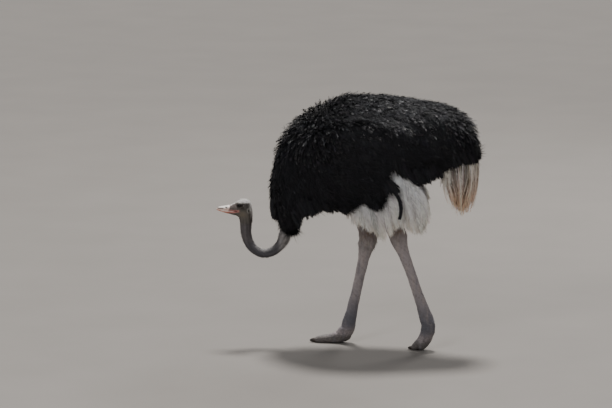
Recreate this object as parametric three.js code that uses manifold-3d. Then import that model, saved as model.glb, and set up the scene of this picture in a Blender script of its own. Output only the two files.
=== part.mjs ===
// A life-size male ostrich walking with its neck lowered, as a still museum model.
// Millimetres, +Z up. The bird faces -X, so its left side is -Y. It stands on z = 0, on the
// whole right foot and on the toe tips of the left one, and its box is centred on the Z axis.
import * as THREE from 'three';
import { mergeVertices } from 'three/addons/utils/BufferGeometryUtils.js';
import Module from 'manifold-3d';

const wasm = await Module();
wasm.setup();

// ---------------------------------------------------------------- driving dimensions
const GAP = 0.35; // clearance between two solids that touch
const LEFT = -1; // the sign of y on each side of the bird
const RIGHT = 1;

const TARSUS_LENGTH = 485; // hock to the joint at the top of the toes
const BIG_TOE_WIDTH = 29; // half widths of the two toes at their pads
const OUTER_TOE_WIDTH = 18;
const OUTER_TOE_SPLAY = 0.42; // radians between the two toes
const EYE_RADIUS = 20;
const EYE_CENTRE = new THREE.Vector3(-571, 25, 732); // y is the distance from the midline
const EAR_CENTRE = new THREE.Vector3(-527, 29, 706);
const EAR_SIZE = new THREE.Vector3(7, 4, 10); // half lengths
const MOUTH_TIP = new THREE.Vector3(-704, 0, 705);
const MOUTH_CORNER = new THREE.Vector3(-588, 0, 703);
const BILL_BASE_X = -633; // where the horny bill starts
const BILL_BASE_SLOPE = 0.12; // its edge slants back towards the forehead

// Side-view sections of the trunk from the rump forward and down to the base of the neck:
// [upper x, upper z, lower x, lower z, half width]. They fan out round the breast.
const TRUNK = [
  [684, 1075, 680, 1030, 22],
  [666, 1160, 648, 985, 92],
  [605, 1237, 565, 950, 145],
  [520, 1284, 470, 910, 178],
  [400, 1304, 370, 868, 204],
  [230, 1328, 235, 830, 222],
  [60, 1334, 90, 775, 230],
  [-70, 1322, -20, 738, 228],
  [-190, 1275, -100, 716, 218],
  [-290, 1198, -165, 702, 202],
  [-365, 1100, -206, 690, 182],
  [-405, 1000, -232, 678, 158],
  [-419, 880, -247, 656, 132],
  [-418, 760, -259, 628, 103],
  [-405, 675, -274, 600, 72],
  [-378, 626, -292, 579, 46],
];

// The folded wing: [x, top z, bottom z, distance of its middle from the midline, half thickness].
// Its lower edge breaks into two points of black feathers, with a notch between them.
const WING = [
  [-275, 1070, 960, 152, 20],
  [-228, 1140, 850, 172, 42],
  [-165, 1185, 775, 192, 54],
  [-80, 1222, 752, 210, 62],
  [-16, 1238, 742, 217, 65],
  [14, 1242, 738, 219, 65],
  [52, 1246, 766, 220, 65],
  [85, 1246, 798, 220, 64],
  [130, 1242, 778, 218, 63],
  [172, 1238, 755, 216, 61],
  [202, 1232, 826, 211, 58],
  [236, 1224, 926, 204, 55],
  [320, 1200, 938, 186, 50],
  [400, 1166, 966, 164, 42],
  [470, 1122, 1010, 140, 28],
  [512, 1088, 1046, 124, 12],
];

// Hanging plumes, one row for each big feather of a bunch:
// [root x, root y, root z, tip x, tip y, tip z, half width], where y is the distance from the
// midline. They start under the wing's lower edge and hang in towards the thigh.
const FRONT_PLUMES = [
  [4, 196, 800, 48, 172, 692, 34],
  [50, 196, 835, 104, 169, 662, 44],
  [96, 196, 840, 166, 164, 604, 46],
  [166, 195, 850, 214, 164, 634, 44],
  [222, 191, 905, 260, 170, 688, 36],
];
const REAR_PLUMES = [
  [252, 190, 968, 300, 168, 682, 38],
  [302, 186, 956, 352, 162, 654, 44],
  [346, 177, 930, 402, 158, 680, 38],
];
const WING_LEAN = 0.12; // how far a wing's lower edge leans in, over its height
const PLUME_THICKNESS = 17; // half thickness of one bunched feather
const PLUME_BULGE = 16; // how far a feather arches outwards half way down

// The drooping tail, as the plumes. Each row is made on both sides of the midline.
const TAIL = [
  [638, 58, 1038, 622, 48, 738, 62],
  [545, 54, 1000, 600, 44, 752, 60],
];
const TAIL_THICKNESS = 44;
const TAIL_BULGE = 8;

// Shares of a feather's half width and half thickness from its root to its tip.
const FEATHER_OUTLINE = [
  [0.5, 0.8],
  [0.95, 1],
  [1, 0.85],
  [0.82, 0.6],
  [0.28, 0.2],
];

// The bare neck from its base round the bend and up to the throat: [x, z, half depth].
const NECK = [
  [-338, 604, 34],
  [-345, 574, 31],
  [-359, 537, 26.5],
  [-383, 505, 24.5],
  [-415, 484, 23.5],
  [-451, 476, 23.5],
  [-485, 485, 23.5],
  [-512, 505, 24.5],
  [-532, 533, 26],
  [-544, 568, 27.5],
  [-548, 605, 29.5],
  [-547, 655, 32.5],
];
const HEAD_BASE_Z = 642; // the level plane where the neck ends and the head starts
const NECK_FLATNESS = 0.93; // half width over half depth
const NECK_CUTS = [0, 0.31, 0.64, 1]; // shares of the neck's sections, where it is divided

// Head and bill in one run from the top of the neck to the tip, as TRUNK.
const HEAD = [
  [-514.5, 628, -579.5, 632, 30],
  [-512, 664, -582, 655, 31.5],
  [-511.5, 695, -587, 668, 34],
  [-514, 718, -591, 671, 37],
  [-521, 742, -595, 672.5, 39.5],
  [-535, 758.5, -600, 674, 41],
  [-556, 763.5, -606, 675, 41.5],
  [-577, 759.5, -613, 676.5, 39.5],
  [-594, 751, -621, 678.5, 35.5],
  [-609, 741, -629, 680.5, 31.5],
  [-622, 734, -637, 682.5, 28.5],
  [-641, 727.5, -651, 686, 26],
  [-660, 723.5, -665, 690, 23.5],
  [-678, 720.5, -681, 695, 20],
  [-693, 716, -693, 699, 14],
  [-703, 708, -701, 702.5, 4],
];

// Each leg. hock and ankle are joint centres, where ankle is the joint above the toes.
// shank: [x, distance from the midline, z, half depth, half width] from the knee down.
const LEFT_LEG = {
  side: LEFT,
  hock: new THREE.Vector3(259, -66, 599),
  ankle: new THREE.Vector3(418, -60, 140),
  shank: [
    [38, 118, 1085, 40, 30],
    [62, 126, 1035, 92, 62],
    [105, 128, 940, 110, 72],
    [152, 116, 835, 92, 62],
    [198, 97, 740, 66, 48],
    [232, 80, 665, 50, 39],
    [252, 70, 620, 47, 36],
    [259, 66, 600, 47, 35],
    [266, 64, 560, 44, 33],
  ],
};
const RIGHT_LEG = {
  side: RIGHT,
  hock: new THREE.Vector3(87, 66, 549),
  ankle: new THREE.Vector3(-19, 62, 76),
  shank: [
    [-20, 118, 1062, 40, 30],
    [-8, 126, 1010, 92, 62],
    [16, 128, 908, 110, 72],
    [42, 116, 795, 92, 62],
    [64, 97, 695, 66, 48],
    [79, 80, 617, 50, 39],
    [85, 70, 570, 47, 36],
    [87, 66, 550, 47, 35],
    [86, 64, 510, 44, 33],
  ],
};
// The long lower leg: [share of its length, half depth, half width, forward offset].
const TARSUS = [
  [0, 47, 35, 0],
  [0.05, 46, 35, 2],
  [0.12, 37, 29, 3],
  [0.22, 29, 22.5, 1],
  [0.4, 26, 19.5, 0],
  [0.6, 26, 19.5, 0],
  [0.78, 29, 22, 0],
  [0.9, 35, 28, 0],
  [0.97, 37.5, 32.5, 0],
  [1, 37, 33.5, 0],
];
// Toes: [x forward of the ankle, z, half height, share of the toe's half width]. A flat foot's
// toe runs along the ground; a rolling foot's toe comes down steeply and flattens at its tip.
const FLAT_TOE = [
  [-10, 116, 37, 1.15],
  [-1, 80, 37, 1.15],
  [22, 47, 41, 1.15],
  [52, 29, 32, 1.06],
  [92, 21, 25, 1],
  [126, 18, 22, 0.98],
  [152, 15, 18, 0.9],
  [170, 11, 12, 0.66],
];
const ROLLING_TOE = [
  [14, 180, 37, 1.15],
  [1, 142, 37, 1.15],
  [0, 104, 37, 1.12],
  [13, 70, 34, 1.02],
  [34, 41, 30, 1],
  [57, 23, 25, 1],
  [75, 14, 17, 0.86],
  [85, 10, 11, 0.6],
];
const FLAT_CLAW = { x: 160, z: 13, length: 42, height: 12, width: 15 };
const ROLLING_CLAW = { x: 77, z: 11.5, length: 30, height: 10, width: 14 };
const OUTER_TOE_REACH = 0.62; // length and height of the outer toe against the big one
const OUTER_TOE_HEIGHT = 0.94;
const CLAW_OUTLINE = [[0, 0], [0.62, 0], [1, 0.12], [0.96, 0.45], [0.72, 0.76], [0.36, 0.95], [0, 1]];
const CLAW_DROOP = 0.1; // radians that a claw's tip points down
const BIG_TOE = { halfWidth: BIG_TOE_WIDTH, reach: 1, tall: 1, splay: 0, clawScale: 1, clawLift: 1 };
const OUTER_TOE = {
  halfWidth: OUTER_TOE_WIDTH,
  reach: OUTER_TOE_REACH,
  tall: OUTER_TOE_HEIGHT,
  splay: OUTER_TOE_SPLAY,
  clawScale: 0.5,
  clawLift: 0.72,
};

// ---------------------------------------------------------------- materials
const finish = (color, roughness) => new THREE.MeshStandardMaterial({ color, roughness, metalness: 0 });
const BLACK_PLUMAGE = finish(0x101012, 0.8);
const WHITE_PLUMAGE = finish(0xc8c4bd, 0.85);
const TAIL_PLUMAGE = finish(0xa8988a, 0.85);
const NECK_SKIN = finish(0x6c6763, 0.8);
const LEG_SKIN = finish(0x7b7069, 0.7);
const BILL_HORN = finish(0xc9a898, 0.45);
const CLAW_HORN = finish(0x3c3733, 0.5);
const EYE_BALL = finish(0x1c120c, 0.08);
const EAR_HOLLOW = finish(0x3a3431, 0.9);

// ---------------------------------------------------------------- geometry helpers
const NUDGE = 0.01; // step along a curve that finds its direction

// A smooth curve through rows of numbers: returns the row at t from 0 to 1.
function rowCurve(rows) {
  const width = rows[0].length;
  const curves = [];
  for (let k = 0; k < width; k += 3) {
    const points = rows.map((r) => new THREE.Vector3(r[k], r[k + 1] ?? 0, r[k + 2] ?? 0));
    curves.push(new THREE.CatmullRomCurve3(points, false, 'catmullrom', 0.5));
  }
  return (t) => curves.flatMap((c) => c.getPoint(t).toArray()).slice(0, width);
}

// Closes a loft of rings. Each ring is { centre, up, across }: two half axes of its oval.
// square over 2 makes the oval boxier, and lift moves its widest point towards up.
function loft(rings, sides, { square = 2, lift = 0 } = {}) {
  const round = (v) => Math.sign(v) * Math.abs(v) ** (2 / square);
  const positions = [];
  for (const { centre, up, across } of rings) {
    for (let i = 0; i < sides; i++) {
      const a = (2 * Math.PI * i) / sides;
      const p = centre.clone();
      p.addScaledVector(up, round(Math.cos(a)) + lift * Math.sin(a) ** 2);
      p.addScaledVector(across, round(Math.sin(a)));
      positions.push(...p.toArray());
    }
  }
  const index = [];
  for (let r = 0; r + 1 < rings.length; r++) {
    for (let i = 0; i < sides; i++) {
      const [a, b] = [r * sides + i, r * sides + ((i + 1) % sides)];
      index.push(a, b, a + sides, b, b + sides, a + sides);
    }
  }
  for (const [ring, base] of [[rings[0], 0], [rings.at(-1), (rings.length - 1) * sides]]) {
    const hub = positions.length / 3;
    positions.push(...ring.centre.toArray());
    for (let i = 0; i < sides; i++) {
      const [a, b] = [base + i, base + ((i + 1) % sides)];
      index.push(...(base ? [a, b, hub] : [b, a, hub]));
    }
  }
  const geometry = new THREE.BufferGeometry();
  geometry.setAttribute('position', new THREE.Float32BufferAttribute(positions, 3));
  geometry.setIndex(index);
  return geometry;
}

// Turns a geometry into a manifold-3d solid that faces outwards.
function solid(geometry) {
  const bare = geometry.clone();
  bare.deleteAttribute('normal');
  bare.deleteAttribute('uv');
  const merged = mergeVertices(bare, 1e-3);
  const vertProperties = merged.attributes.position.array;
  const build = (triVerts) => new wasm.Manifold(new wasm.Mesh({ numProp: 3, vertProperties, triVerts }));
  const triVerts = new Uint32Array(merged.index.array);
  const made = build(triVerts);
  if (made.volume() > 0) return made;
  for (let i = 0; i < triVerts.length; i += 3) {
    [triVerts[i + 1], triVerts[i + 2]] = [triVerts[i + 2], triVerts[i + 1]];
  }
  return build(triVerts);
}

// The biggest body of a solid, without the crumbs that a cut can leave.
function largest(made) {
  return made.decompose().sort((a, b) => b.volume() - a.volume())[0];
}

// Cuts each of the tools from a solid and keeps the main body.
function cut(made, ...tools) {
  return largest(tools.reduce((left, tool) => left.subtract(tool), made));
}

// Stacks of sections with the upper and lower points of a side view.
function profileRings(rows, count, grow = 0) {
  const at = rowCurve(rows);
  return Array.from({ length: count }, (_, i) => {
    const [x0, z0, x1, z1, width] = at(i / (count - 1));
    const up = new THREE.Vector3((x0 - x1) / 2, 0, (z0 - z1) / 2);
    return {
      centre: new THREE.Vector3((x0 + x1) / 2, 0, (z0 + z1) / 2),
      up: up.setLength(up.length() + grow),
      across: new THREE.Vector3(0, width + grow, 0),
    };
  });
}

// Sections across a path of rows [x, distance from midline, z, half depth, half width].
function pathRings(rows, side, count, grow = 0) {
  const at = rowCurve(rows);
  const point = (t) => {
    const [x, y, z] = at(t);
    return new THREE.Vector3(x, side * y, z);
  };
  return Array.from({ length: count }, (_, i) => {
    const t = i / (count - 1);
    const [, , , depth, width] = at(t);
    const along = point(Math.min(1, t + NUDGE)).sub(point(Math.max(0, t - NUDGE))).normalize();
    const up = new THREE.Vector3(-along.z, 0, along.x).normalize();
    const across = new THREE.Vector3().crossVectors(along, up).normalize();
    return {
      centre: point(t),
      up: up.multiplyScalar(depth + grow),
      across: across.multiplyScalar(width + grow),
    };
  });
}

// A block that fills one side of a plane: everything on the side that normal points to.
function halfSpace(point, normal, size = 3000) {
  const block = new THREE.BoxGeometry(size, size, size);
  const upwards = new THREE.Vector3(0, 0, 1);
  const turn = new THREE.Quaternion().setFromUnitVectors(upwards, normal.clone().normalize());
  block.translate(0, 0, size / 2);
  block.applyQuaternion(turn);
  block.translate(point.x, point.y, point.z);
  return solid(block);
}

function ellipsoid(centre, size, grow = 0, segments = 12) {
  const ball = new THREE.SphereGeometry(1, segments, Math.round(segments * 0.66));
  ball.scale(size.x + grow, size.y + grow, size.z + grow);
  ball.translate(centre.x, centre.y, centre.z);
  return solid(ball);
}

const onSide = (v, side) => new THREE.Vector3(v.x, v.y * side, v.z);

// ---------------------------------------------------------------- the group of named meshes
const bird = new THREE.Group();

function addNode(name, made, material) {
  const { vertProperties, triVerts, numProp } = made.getMesh();
  const positions = new Float32Array((vertProperties.length / numProp) * 3);
  for (let i = 0; i < positions.length / 3; i++) {
    positions.set(vertProperties.subarray(i * numProp, i * numProp + 3), i * 3);
  }
  const geometry = new THREE.BufferGeometry();
  geometry.setAttribute('position', new THREE.BufferAttribute(positions, 3));
  geometry.setIndex(new THREE.BufferAttribute(new Uint32Array(triVerts), 1));
  const mesh = new THREE.Mesh(geometry, material);
  mesh.name = name;
  bird.add(mesh);
}

// ---------------------------------------------------------------- trunk and neck
const TRUNK_RINGS = 23;
const TRUNK_SIDES = 20;
const trunkShape = { square: 2.15, lift: 0.08 };
const trunkLoft = (grow) => solid(loft(profileRings(TRUNK, TRUNK_RINGS, grow), TRUNK_SIDES, trunkShape));
const trunk = trunkLoft(0);
const trunkRoom = trunkLoft(GAP);
addNode('trunk', trunk, BLACK_PLUMAGE);

function neckRings(from, to, count) {
  const at = rowCurve(NECK);
  return Array.from({ length: count }, (_, i) => {
    const t = from + ((to - from) * i) / (count - 1);
    const [x, z, radius] = at(t);
    const [ax, az] = at(Math.max(0, t - NUDGE));
    const [bx, bz] = at(Math.min(1, t + NUDGE));
    const along = new THREE.Vector3(bx - ax, 0, bz - az).normalize();
    return {
      centre: new THREE.Vector3(x, 0, z),
      up: new THREE.Vector3(-along.z, 0, along.x).multiplyScalar(radius),
      across: new THREE.Vector3(0, radius * NECK_FLATNESS, 0),
    };
  });
}

const aboveNeck = halfSpace(new THREE.Vector3(0, 0, HEAD_BASE_Z), new THREE.Vector3(0, 0, 1));
['neck_lower', 'neck_middle', 'neck_upper'].forEach((name, k) => {
  const step = 0.0012; // share of the neck that leaves the gap at each cut
  const rings = neckRings(NECK_CUTS[k] + (k ? step : 0), NECK_CUTS[k + 1], 7);
  addNode(name, cut(solid(loft(rings, 12)), trunkRoom, aboveNeck), NECK_SKIN);
});

// ---------------------------------------------------------------- head, bill, eyes and ears
const skull = solid(loft(profileRings(HEAD, 22), 16, { square: 2.2 }));
const belowHead = halfSpace(new THREE.Vector3(0, 0, HEAD_BASE_Z + GAP), new THREE.Vector3(0, 0, -1));
const billPlane = new THREE.Vector3(BILL_BASE_X, 0, MOUTH_TIP.z);
const forward = new THREE.Vector3(-1, 0, BILL_BASE_SLOPE);
const mouthLine = MOUTH_CORNER.clone().sub(MOUTH_TIP).normalize();
const mouthUp = new THREE.Vector3(-mouthLine.z, 0, mouthLine.x);

const sockets = [];
for (const side of [LEFT, RIGHT]) {
  const name = side === LEFT ? 'left' : 'right';
  const eye = onSide(EYE_CENTRE, side);
  const ear = onSide(EAR_CENTRE, side);
  const eyeSize = new THREE.Vector3(EYE_RADIUS, EYE_RADIUS, EYE_RADIUS);
  sockets.push(ellipsoid(eye, eyeSize, GAP), ellipsoid(ear, EAR_SIZE, 2, 8));
  addNode(`eye_${name}`, ellipsoid(eye, eyeSize), EYE_BALL);
  addNode(`ear_${name}`, ellipsoid(ear, EAR_SIZE, 0, 8), EAR_HOLLOW);
}
addNode('head', cut(skull, belowHead, halfSpace(billPlane, forward), ...sockets), NECK_SKIN);

const behindBill = halfSpace(billPlane.clone().setX(BILL_BASE_X - GAP), forward.clone().negate());
const bill = cut(skull, behindBill);
const half = GAP / 2;
const aboveMouth = halfSpace(MOUTH_TIP.clone().addScaledVector(mouthUp, -half), mouthUp);
const belowMouth = halfSpace(MOUTH_TIP.clone().addScaledVector(mouthUp, half), mouthUp.clone().negate());
addNode('bill_upper', cut(bill, belowMouth), BILL_HORN);
addNode('bill_lower', cut(bill, aboveMouth), BILL_HORN);

// ---------------------------------------------------------------- legs
const floor = halfSpace(new THREE.Vector3(), new THREE.Vector3(0, 0, -1));

// A toe that points forward (-X) from the ankle, turned outwards by splay.
function toeLoft(rows, leg, { halfWidth, reach, tall, splay }, grow = 0) {
  const at = rowCurve(rows);
  const count = 11;
  const point = (t) => {
    const [x, z] = at(t);
    const outward = leg.side * Math.sin(splay) * x * reach;
    return new THREE.Vector3(leg.ankle.x - Math.cos(splay) * x * reach, leg.ankle.y + outward, z);
  };
  const rings = Array.from({ length: count }, (_, i) => {
    const t = i / (count - 1);
    const [, , height, share] = at(t);
    const along = point(Math.min(1, t + NUDGE)).sub(point(Math.max(0, t - NUDGE))).normalize();
    const level = new THREE.Vector3(-Math.sin(splay) * leg.side, -Math.cos(splay), 0);
    const up = new THREE.Vector3().crossVectors(along, level).normalize();
    return {
      centre: point(t),
      up: up.multiplyScalar(height * tall + grow),
      across: level.multiplyScalar(halfWidth * share + grow),
    };
  });
  return solid(loft(rings, 12, { square: 2.3 }));
}

// A blunt nail: a squashed cone that points along the toe, flat on the ground.
function claw({ x, z, length, height, width }, leg, { reach, splay, clawScale, clawLift }) {
  const nail = new THREE.LatheGeometry(
    CLAW_OUTLINE.map(([radius, along]) => new THREE.Vector2(radius, along)),
    10,
  );
  nail.scale(width * clawScale, length * clawScale, height * clawScale);
  nail.rotateZ(Math.PI / 2);
  nail.rotateX(Math.PI);
  nail.rotateY(-CLAW_DROOP);
  nail.rotateZ(-leg.side * splay);
  const out = x * reach;
  nail.translate(
    leg.ankle.x - Math.cos(splay) * out,
    leg.ankle.y + leg.side * Math.sin(splay) * out,
    z * clawLift,
  );
  return solid(nail);
}

function addLeg(leg, toeRows, clawSize) {
  const name = leg.side === LEFT ? 'left' : 'right';
  const down = leg.ankle.clone().sub(leg.hock).setLength(TARSUS_LENGTH);
  const hock = leg.ankle.clone().sub(down);
  const fore = new THREE.Vector3(down.z, 0, -down.x).normalize();
  const sideways = new THREE.Vector3().crossVectors(down, fore).normalize();
  const shankLoft = (grow) => solid(loft(pathRings(leg.shank, leg.side, 10, grow), 12));
  const hockPlane = halfSpace(hock, down);
  addNode(`shank_${name}`, cut(shankLoft(0), trunkRoom, hockPlane), LEG_SKIN);

  const at = rowCurve(TARSUS);
  const tarsusRings = Array.from({ length: 10 }, (_, i) => {
    const [share, depth, width, offset] = at(i / 9);
    const centre = hock.clone().addScaledVector(down, share).addScaledVector(fore, offset);
    const up = fore.clone().multiplyScalar(depth);
    return { centre, up, across: sideways.clone().multiplyScalar(width) };
  });
  const step = down.clone().setLength(GAP);
  const aboveHock = halfSpace(hock.clone().add(step), down.clone().negate());
  const tarsus = cut(solid(loft(tarsusRings, 12)), aboveHock);
  addNode(`tarsus_${name}`, tarsus, LEG_SKIN);

  const belowAnkle = halfSpace(leg.ankle.clone().add(step), down);
  const toeRoom = cut(belowAnkle, floor);
  const bigRoom = toeLoft(toeRows, leg, BIG_TOE, GAP);
  const outerRoom = toeLoft(toeRows, leg, OUTER_TOE, GAP);
  addNode(`toe_big_${name}`, largest(toeLoft(toeRows, leg, BIG_TOE).intersect(toeRoom)), LEG_SKIN);
  const outerToe = toeLoft(toeRows, leg, OUTER_TOE).intersect(toeRoom);
  addNode(`toe_outer_${name}`, cut(outerToe, bigRoom), LEG_SKIN);
  addNode(`claw_big_${name}`, cut(claw(clawSize, leg, BIG_TOE), bigRoom, floor), CLAW_HORN);
  const outerClaw = claw(clawSize, leg, OUTER_TOE);
  addNode(`claw_outer_${name}`, cut(outerClaw, outerRoom, bigRoom, floor), CLAW_HORN);
  return shankLoft(GAP);
}

const leftShankRoom = addLeg(LEFT_LEG, ROLLING_TOE, ROLLING_CLAW);
const rightShankRoom = addLeg(RIGHT_LEG, FLAT_TOE, FLAT_CLAW);

// ---------------------------------------------------------------- wings, hanging plumes and tail
function wingSolid(side, grow = 0) {
  const rings = WING.map(([x, top, bottom, centreY, thick]) => {
    const lean = WING_LEAN * (top - bottom); // the lower edge hangs in towards the thigh
    return {
      centre: new THREE.Vector3(x, side * centreY, (top + bottom) / 2),
      up: new THREE.Vector3(0, (side * lean) / 2, (top - bottom) / 2 + grow),
      across: new THREE.Vector3(0, thick + grow, 0),
    };
  });
  return solid(loft(rings, 12, { square: 2.1 }));
}

// One feather of a bunch, as a blade from its root to its tip that arches along face.
function feather(row, side, face, { thickness, bulge, grow }) {
  const [rootX, rootY, rootZ, tipX, tipY, tipZ, width] = row;
  const root = new THREE.Vector3(rootX, side * rootY, rootZ);
  const tip = new THREE.Vector3(tipX, side * tipY, tipZ);
  const spread = tip.clone().sub(root).cross(face).normalize();
  const rings = FEATHER_OUTLINE.map(([broad, thick], i) => {
    const t = i / (FEATHER_OUTLINE.length - 1);
    return {
      centre: root.clone().lerp(tip, t).addScaledVector(face, bulge * Math.sin(Math.PI * t)),
      up: spread.clone().multiplyScalar(width * broad + grow),
      across: face.clone().multiplyScalar(thickness * thick + grow),
    };
  });
  return solid(loft(rings, 6));
}

function bunch(rows, side, face, shape) {
  const feathers = rows.map((row) => feather(row, side, face, shape));
  return feathers.reduce((joined, next) => joined.add(next));
}

for (const side of [LEFT, RIGHT]) {
  const name = side === LEFT ? 'left' : 'right';
  const shankRoom = side === LEFT ? leftShankRoom : rightShankRoom;
  addNode(`wing_${name}`, cut(wingSolid(side), trunkRoom, shankRoom), BLACK_PLUMAGE);
  const rooms = [trunkRoom, wingSolid(side, GAP), shankRoom];
  const outward = new THREE.Vector3(0, side, 0);
  const plumes = (rows, grow) =>
    bunch(rows, side, outward, { thickness: PLUME_THICKNESS, bulge: PLUME_BULGE, grow });
  const front = cut(plumes(FRONT_PLUMES, 0), ...rooms);
  const rear = cut(plumes(REAR_PLUMES, 0), ...rooms, plumes(FRONT_PLUMES, GAP));
  addNode(`plumes_front_${name}`, front, WHITE_PLUMAGE);
  addNode(`plumes_rear_${name}`, rear, WHITE_PLUMAGE);
}

const backward = new THREE.Vector3(1, 0, 0);
const tailShape = { thickness: TAIL_THICKNESS, bulge: TAIL_BULGE, grow: 0 };
const tailRight = bunch(TAIL, RIGHT, backward, tailShape);
const tailLeft = bunch(TAIL, LEFT, backward, tailShape);
addNode('tail', cut(tailRight.add(tailLeft), trunkRoom), TAIL_PLUMAGE);

// The part's origin is the middle of its box, at floor level.
bird.updateMatrixWorld(true);
const box = new THREE.Box3().setFromObject(bird);
const middle = box.getCenter(new THREE.Vector3());
bird.position.set(-middle.x, -middle.y, -box.min.z);

export default bird;
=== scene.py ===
"""A still, life-size male ostrich that walks with its neck lowered, as a museum would show it.

Metres, +Z up. The bird faces -X, so its left side is -Y. One skin stands for all the flesh. Feathers,
down, bristles and lashes are meshes of thin blades over it, and scutes are plates that follow it. The
bill, eyes and claws are pieces of their own.
"""

import bmesh
import bpy
import numpy as np
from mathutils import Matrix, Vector
from mathutils.bvhtree import BVHTree
from numpy import arange, array, clip, concatenate, cos, cross, interp, linspace, maximum, pi
from numpy import radians, repeat, sign, sin, sqrt, stack, tile, where
from numpy.linalg import norm
from numpy.random import default_rng


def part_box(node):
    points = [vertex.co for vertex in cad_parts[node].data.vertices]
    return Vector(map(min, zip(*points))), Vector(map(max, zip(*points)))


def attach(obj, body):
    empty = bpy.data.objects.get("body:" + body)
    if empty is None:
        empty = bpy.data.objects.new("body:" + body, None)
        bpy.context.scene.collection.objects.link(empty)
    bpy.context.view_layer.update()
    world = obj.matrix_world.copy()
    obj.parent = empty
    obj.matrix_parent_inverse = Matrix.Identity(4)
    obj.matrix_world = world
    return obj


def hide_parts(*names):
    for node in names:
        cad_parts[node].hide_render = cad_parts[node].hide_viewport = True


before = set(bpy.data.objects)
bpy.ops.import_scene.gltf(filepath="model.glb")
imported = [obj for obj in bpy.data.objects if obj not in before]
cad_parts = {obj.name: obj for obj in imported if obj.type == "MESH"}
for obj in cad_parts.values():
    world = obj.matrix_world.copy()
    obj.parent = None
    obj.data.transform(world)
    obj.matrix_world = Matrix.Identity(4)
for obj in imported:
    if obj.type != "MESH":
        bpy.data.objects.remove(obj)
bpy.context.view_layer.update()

# --- Driving sizes
MM = 0.001
LEFT, RIGHT = -1, 1
SIDES = {LEFT: "left", RIGHT: "right"}
low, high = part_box("eye_right")
EYE = array((low + high) / 2)  # here and in EAR and NOSTRIL, y is the distance from the midline
BALL = 0.0197 / MM  # the eyeball's radius, in mm
SHIFT = EYE[0] + 0.571  # the row's origin against the lengths below


def at(x, y, z):
    """A place given in metres from the point that the bird's lengths are measured from."""
    return array((x + SHIFT, y, z))


def lengths(places):
    """The x, y and z of places against that point."""
    return np.moveaxis(places - (SHIFT, 0, 0), -1, 0)


EAR = at(-0.527, 0.029, 0.706)
MOUTH_TIP = at(-0.704, 0, 0.705)
MOUTH_CORNER = at(-0.588, 0, 0.703)
BILL_BASE = at(-0.633, 0, 0.705)
NOSTRIL = at(-0.6480, 0.013, 0.7180)
LEGS = {  # each leg's hock and ankle
    LEFT: (at(0.259, -0.066, 0.599), at(0.418, -0.060, 0.140)),
    RIGHT: (at(0.087, 0.066, 0.549), at(-0.019, 0.062, 0.076)),
}
COAT_DEPTH = 0.034  # from the feather tips in to the skin of the trunk
PATCH = 0.003  # how wide a tuft is on the coat's bake map


# --- Numbers
def ease(low, high, value):
    """0 up to low, 1 from high on, a smooth step between. low may be the larger."""
    t = clip((value - low) / (high - low), 0, 1)
    return t * t * (3 - 2 * t)


def hump(value, centre, width):
    return np.exp(-(((value - centre) / width) ** 2))


def unit(vectors):
    return vectors / maximum(norm(vectors, axis=-1, keepdims=True), 1e-9)


def flat(vectors, normals):
    """Unit vectors along a surface that has the normals given."""
    return unit(vectors - normals * np.sum(vectors * normals, axis=-1)[..., None])


def columns(*values):
    """An array with the values as its columns. A value may be one number for all rows."""
    return stack(np.broadcast_arrays(*values), axis=-1)


def between(rows, place, stops=None):
    """Rows of numbers read at places between them. Row k stands at stops[k], or at k."""
    rows = array(rows, float)
    return columns(*(interp(place, range(len(rows)) if stops is None else stops, c) for c in rows.T))


def wobble(points, wavelength, seed):
    """Smooth noise of about -1 to 1 over points in space."""
    rng = default_rng(seed)
    waves = unit(rng.normal(size=(7, 3))) * (2 * pi / wavelength)
    waves *= rng.uniform(0.6, 1.5, (7, 1))
    return sin(points @ waves.T + rng.uniform(0, 2 * pi, 7)).sum(axis=-1) / 3.2


def rgb(red, green, blue):
    """A colour as it looks on a screen, 0 to 255, as the light values that shaders use."""
    values = array((red, green, blue)) / 255
    return where(values <= 0.04045, values / 12.92, ((values + 0.055) / 1.055) ** 2.4)


def blend(a, b, share):
    share = np.asarray(share)[..., None]
    return np.asarray(a) * (1 - share) + np.asarray(b) * share


def layered(colour, *layers):
    """Screen colours laid over a colour, each with the share of it that shows."""
    for over, share in layers:
        colour = blend(colour, rgb(*over), share)
    return colour


def graded(pair, share):
    """Colours between the root and the tip colour of each feather in pair (feathers, 2, 3)."""
    return pair[:, :1] * (1 - share) + pair[:, 1:] * share


# --- Meshes
def numbers(collection, field, width, kind=np.float32):
    values = np.empty(len(collection) * width, kind)
    collection.foreach_get(field, values)
    return values.reshape(-1, width)


def give(mesh, name, kind, field, values):
    """Stores values on a mesh's vertices."""
    mesh.attributes.new(name, kind, "POINT").data.foreach_set(field, values.astype(np.float32).ravel())


def make_piece(name, vertices, faces, tint=None, smooth=True):
    """A mesh object from arrays. tint is a colour, or one for each vertex."""
    mesh = bpy.data.meshes.new(name)
    mesh.from_pydata(vertices.tolist(), [], faces.tolist())
    mesh.validate()
    mesh.polygons.foreach_set("use_smooth", np.full(len(mesh.polygons), smooth))
    if tint is not None:
        tint = np.broadcast_to(tint, (len(vertices), 3))
        give(mesh, "tint", "FLOAT_COLOR", "color", np.insert(tint, 3, 1, axis=1))
    piece = bpy.data.objects.new(name, mesh)
    bpy.context.scene.collection.objects.link(piece)
    return piece


def with_modifiers(piece):
    return piece.evaluated_get(bpy.context.evaluated_depsgraph_get()).to_mesh()


def arrays(bm):
    """The vertices and triangles of a bmesh, which is used up."""
    bmesh.ops.triangulate(bm, faces=bm.faces)
    bm.verts.index_update()
    vertices = array([v.co for v in bm.verts])
    faces = array([[v.index for v in f.verts] for f in bm.faces])
    bm.free()
    return vertices, faces


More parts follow.
